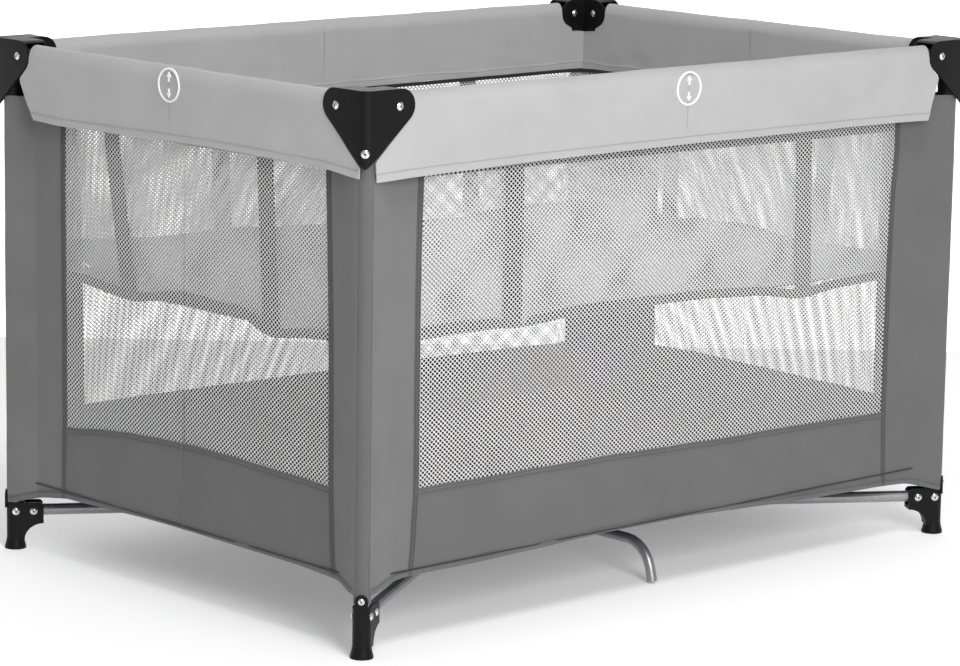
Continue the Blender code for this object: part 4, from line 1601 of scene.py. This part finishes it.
        flat, faces = self.knit.cells((-half, self.net_low), (half, self.top), keep)
        wave = self.net_wave * ripple(flat[:, 0], flat[:, 1], middle)
        spots = self.spots(flat[:, 0] + middle, flat[:, 1], self.net_inset + wave)
        thing = add_mesh(f"insert_net_{name}", spots, faces, INSERT_NET, uv=flat, turn=False)
        self.dress(thing, "insert_cloth", "bassinet")
        run = np.linspace(-1, 1, 220) * (half + self.tape_lap)
        near, slope = self.front_sink
        sink = near + slope * (run + half) / half if name == "front" else 0 * run
        high = 0 * run + self.top + self.top_rise
        trims = [self.tape(f"insert_top_{name}", run, middle, high, self.top - self.top_drop - sink)]
        hem = self.hem_at(name, run)
        trims.append(self.tape(f"insert_hem_{name}", run, middle, hem + self.hem, hem))
        for number, (above, below) in enumerate(self.straps[name]):
            self.hanger(f"insert_strap_{name}_{number + 1}", name, middle, above, below)

    def spots(self, run: np.ndarray, up: np.ndarray, inset: np.ndarray | float) -> np.ndarray:
        """Return places on the walls.

        Args:
            run: Distances round the ring.
            up: Heights.
            inset: Distances inside the outer face.

        Returns:
            Points.
        """
        plan = self.ring(run)
        nudge = 0.001
        ahead = self.ring(run + nudge) - self.ring(run - nudge)
        ahead /= np.linalg.norm(ahead, axis=-1, keepdims=True)
        inner = np.stack([-ahead[..., 1], ahead[..., 0]], axis=-1)
        plan = plan + inner * np.asarray(inset)[..., None]
        return np.concatenate([plan, np.asarray(up)[..., None]], axis=-1)

    def tape(
        self, name: str, run: np.ndarray, middle: float, high: np.ndarray, low: np.ndarray
    ) -> bpy.types.Object:
        """Build a dark binding between two heights along a wall.

        Args:
            name: Name of the piece.
            run: Places along the wall.
            middle: Middle of the wall on the ring.
            high: Upper edge.
            low: Lower edge.

        Returns:
            The tape.
        """
        share = np.linspace(0, 1, 6)[:, None]
        up = low + (high - low) * share
        wave = self.tape_wave * ripple(run, run * 0, middle)
        inset = self.net_inset + wave + 0 * share
        grid = self.spots((run + middle) + 0 * share, up, inset)
        return self.dress(add_sheet(name, grid, self.tape_thick, INSERT_CLOTH), "insert_cloth", "bassinet")

    def hanger(self, name: str, wall: str, middle: float, above: float, below: float) -> None:
        """Build one webbing hanger: down the wall and over the rail.

        Args:
            name: Name of the piece.
            wall: Name of the wall.
            middle: Middle of the wall on the ring.
            above: Place along the wall at the top.
            below: Place along the wall at the hem.
        """
        low = float(self.hem_at(wall, np.array([below]))[0]) + self.strap_start
        hook = self.rail_r + self.hook_gap
        rail = self.sizes.rail_z
        heights = list(np.linspace(low, self.top - self.strap_bend, 26)) + [rail - 0.05, rail - 0.02]
        inset = list(np.linspace(-self.strap_out, hook - self.inset, 26)) + [hook - self.inset] * 2
        for angle in np.linspace(0, math.pi, 11):
            heights.append(rail + hook * math.sin(angle))
            inset.append(-(self.inset - hook * math.cos(angle)))
        heights.append(rail - self.hook_end)
        inset.append(-(self.inset + hook))
        up = np.array(heights)[:, None]
        share = np.clip((up - low) / (self.top - low), 0, 1)
        run = below + (above - below) * share + np.linspace(-0.5, 0.5, 9)[None, :] * self.strap
        grid = self.spots(run + middle, up + 0 * run, np.array(inset)[:, None] + 0 * run)
        thing = add_sheet(name, grid, self.strap_thick, WEB_CLOTH)
        self.dress(thing, "webbing", "bassinet")

    def base(self) -> None:
        """Build the insert's floor sheet."""
        half_x = self.sizes.half_long - self.inset - self.floor_gap
        half_y = self.sizes.half_short - self.inset - self.floor_gap
        share_x, share_y = np.meshgrid(np.linspace(-1, 1, 60), np.linspace(-1, 1, 44), indexing="ij")
        x, y = half_x * share_x, half_y * share_y
        over_x = np.clip(np.abs(x) - (half_x - self.corner), 0, None)
        over_y = np.clip(np.abs(y) - (half_y - self.corner), 0, None)
        both = (over_x > 0) & (over_y > 0)
        pull = np.where(both, np.maximum(0, np.hypot(over_x, over_y) / self.corner - 1), 0)
        x = np.sign(x) * (np.abs(x) - over_x * pull / (1 + pull))
        y = np.sign(y) * (np.abs(y) - over_y * pull / (1 + pull))
        up = self.low + self.floor_lift + self.floor_wave * ripple(x, y, 2.0)
        grid = np.stack([x, y, up], axis=-1)
        thing = add_sheet("insert_floor", grid, self.cloth, PAD_CLOTH)
        self.dress(thing, "insert_cloth", "bassinet")

    def pad(self) -> None:
        """Build the mattress pad with its three fold lines."""
        half_x, half_y, low, high = self.sizes.tub
        low = max(low, self.low + self.pad_base)
        counts = (161, 101)
        share_x, share_y = np.meshgrid(*(np.linspace(-1, 1, count) for count in counts), indexing="ij")
        x, y = half_x * share_x, half_y * share_y
        rim = np.minimum(half_x - np.abs(x), half_y - np.abs(y))
        swell = 1 - np.exp(-rim / self.pad_rim)
        fold = np.ones_like(x)
        for line in (-0.5, 0.0, 0.5):
            fold -= self.pad_fold * np.exp(-(((x - line * half_x) / self.pad_groove) ** 2))
        crown = self.pad_edge + (1 - self.pad_edge) * swell * np.clip(fold, 0.15, 1)
        tuft = self.pad_tuft * ripple(x, y, 3.0)
        top = low + (high - low) * crown + tuft * swell
        round_off = 1 - self.pad_round * (np.abs(share_x) ** 24 * np.abs(share_y) ** 24)
        lift = curve_at(self.pad_lift, x, 0.03) * np.clip(0.35 + 0.65 * y / half_y, 0, 1) ** 2
        plan = np.stack([x * round_off, y * round_off], axis=-1)
        layers = (top + lift, low + np.clip(lift, 0, None))
        vertices = np.concatenate([np.dstack([plan, up]).reshape(-1, 3) for up in layers])
        flat = np.stack([x, y], axis=-1).reshape(-1, 2)
        uv = np.concatenate([flat, flat])
        thing = add_mesh("pad", vertices, shell_faces(*counts), PAD_CLOTH, uv=uv)
        self.dress(thing, "pad_cloth", "mattress_pad")


# Studio


@dataclass
class Studio:
    """Camera, lights and pale floor."""

    camera_at: tuple[float, float, float] = (-3.4451, -3.7615, 1.2325)
    yaw: float = math.radians(-42.415)
    pitch: float = math.radians(10.403)
    roll: float = math.radians(0.897)
    focal: float = 3710.14
    picture_width: int = 960
    sensor: float = 36.0
    view_end: float = 60.0
    aim: tuple[float, float, float] = (0.0, 0.0, 0.3)
    world_light: float = 0.38
    lamps: tuple[tuple, ...] = (
        ("key", (-1.9, -4.4, 2.3), 1.8, 140.0),
        ("top", (-0.9, -1.8, 3.8), 1.2, 52.0),
    )
    floor_ends: tuple[float, float] = (-12.0, 1.5)
    back_at: float = 6.0
    back_bend: float = 2.0
    back_top: float = 9.0
    half_width: float = 14.0

    def build(self) -> None:
        """Set the whole studio."""
        self.camera()
        self.lights()
        self.floor()
        bpy.context.scene.view_settings.view_transform = "Standard"

    def camera(self) -> None:
        """Set the camera at the photo's angle."""
        yaw, pitch = self.yaw, self.pitch
        ahead = Vector((-math.sin(yaw) * math.cos(pitch), math.cos(yaw) * math.cos(pitch), -math.sin(pitch)))
        level = Vector((math.cos(yaw), math.sin(yaw), 0.0))
        above = level.cross(ahead)
        right = math.cos(self.roll) * level + math.sin(self.roll) * above
        up = -math.sin(self.roll) * level + math.cos(self.roll) * above
        data = bpy.data.cameras.new("camera")
        data.sensor_fit = "HORIZONTAL"
        data.sensor_width = self.sensor
        data.lens = self.focal / self.picture_width * data.sensor_width
        data.clip_end = self.view_end
        thing = bpy.data.objects.new("camera", data)
        turn = Matrix((right, up, -ahead)).transposed().to_4x4()
        thing.matrix_world = Matrix.Translation(self.camera_at) @ turn
        bpy.context.scene.collection.objects.link(thing)
        bpy.context.scene.camera = thing

    def light(self, name: str, at: tuple, size: float, power: float) -> None:
        """Hang one soft light that looks at the yard.

        Args:
            name: Name of the light.
            at: Where it hangs.
            size: Edge of its square.
            power: Power in watts.
        """
        data = bpy.data.lights.new(name, "AREA")
        data.size = size
        data.energy = power
        thing = bpy.data.objects.new(name, data)
        thing.location = at
        thing.rotation_euler = (Vector(self.aim) - Vector(at)).to_track_quat("-Z", "Y").to_euler()
        bpy.context.scene.collection.objects.link(thing)

    def lights(self) -> None:
        """Hang the lights and set the world."""
        for lamp in self.lamps:
            self.light(*lamp)
        world = bpy.data.worlds.new("studio")
        world.use_nodes = True
        back = world.node_tree.nodes["Background"]
        back.inputs["Color"].default_value = (1.0, 1.0, 1.0, 1.0)
        back.inputs["Strength"].default_value = self.world_light
        bpy.context.scene.world = world

    def floor(self) -> None:
        """Lay the pale floor with a raised backdrop."""
        front, back = self.floor_ends
        self.strip("studio_floor", [(front, 0.0), (back, 0.0)], STUDIO_FLOOR)
        profile = [(back, 0.0), (self.back_at, 0.0)]
        for turn in np.linspace(0, math.pi / 2, 16)[1:]:
            rise = self.back_bend * (1 - math.cos(turn))
            profile.append((self.back_at + self.back_bend * math.sin(turn), rise))
        profile.append((self.back_at + self.back_bend, self.back_top))
        self.strip("studio_backdrop", profile, STUDIO_BACK)

    def strip(self, name: str, profile: list[tuple[float, float]], finish: PlasticFinish) -> None:
        """Sweep a line of distances and heights across the view.

        Args:
            name: Name of the piece.
            profile: Pairs of distance ahead and height.
            finish: Finish of the piece.
        """
        ahead = Vector((-math.sin(self.yaw), math.cos(self.yaw), 0.0))
        level = Vector((math.cos(self.yaw), math.sin(self.yaw), 0.0))
        side = level * self.half_width
        lines = [ahead * along + Vector((0, 0, up)) for along, up in profile]
        grid = np.array([tuple(spot) for line in lines for spot in (line - side, line + side)])
        number = np.arange(len(grid)).reshape(-1, 2)
        faces = np.stack([number[:-1, 0], number[:-1, 1], number[1:, 1], number[1:, 0]], axis=1).tolist()
        add_mesh(name, grid, faces, finish, turn=False)


# Scene


def main() -> None:
    """Build the whole scene."""
    logging.basicConfig(level=logging.INFO, format="%(name)s: %(message)s")
    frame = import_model()
    sizes = YardSizes.measure()
    Hardware().build(frame)
    Fasteners(sizes).build()
    for side in half_sides(sizes):
        RailCover(side).build()
        if side.long_side:
            LegSleeve(side).build()
    for side in half_sides(sizes):
        WallHalf(side).build()
    for side, height in zip(half_sides(sizes), ICON_HEIGHTS):
        RingIcon(side, height).build()
    FloorCloth(sizes).build()
    Bassinet(sizes).build()
    Studio().build()


if __name__ == "__main__":
    main()
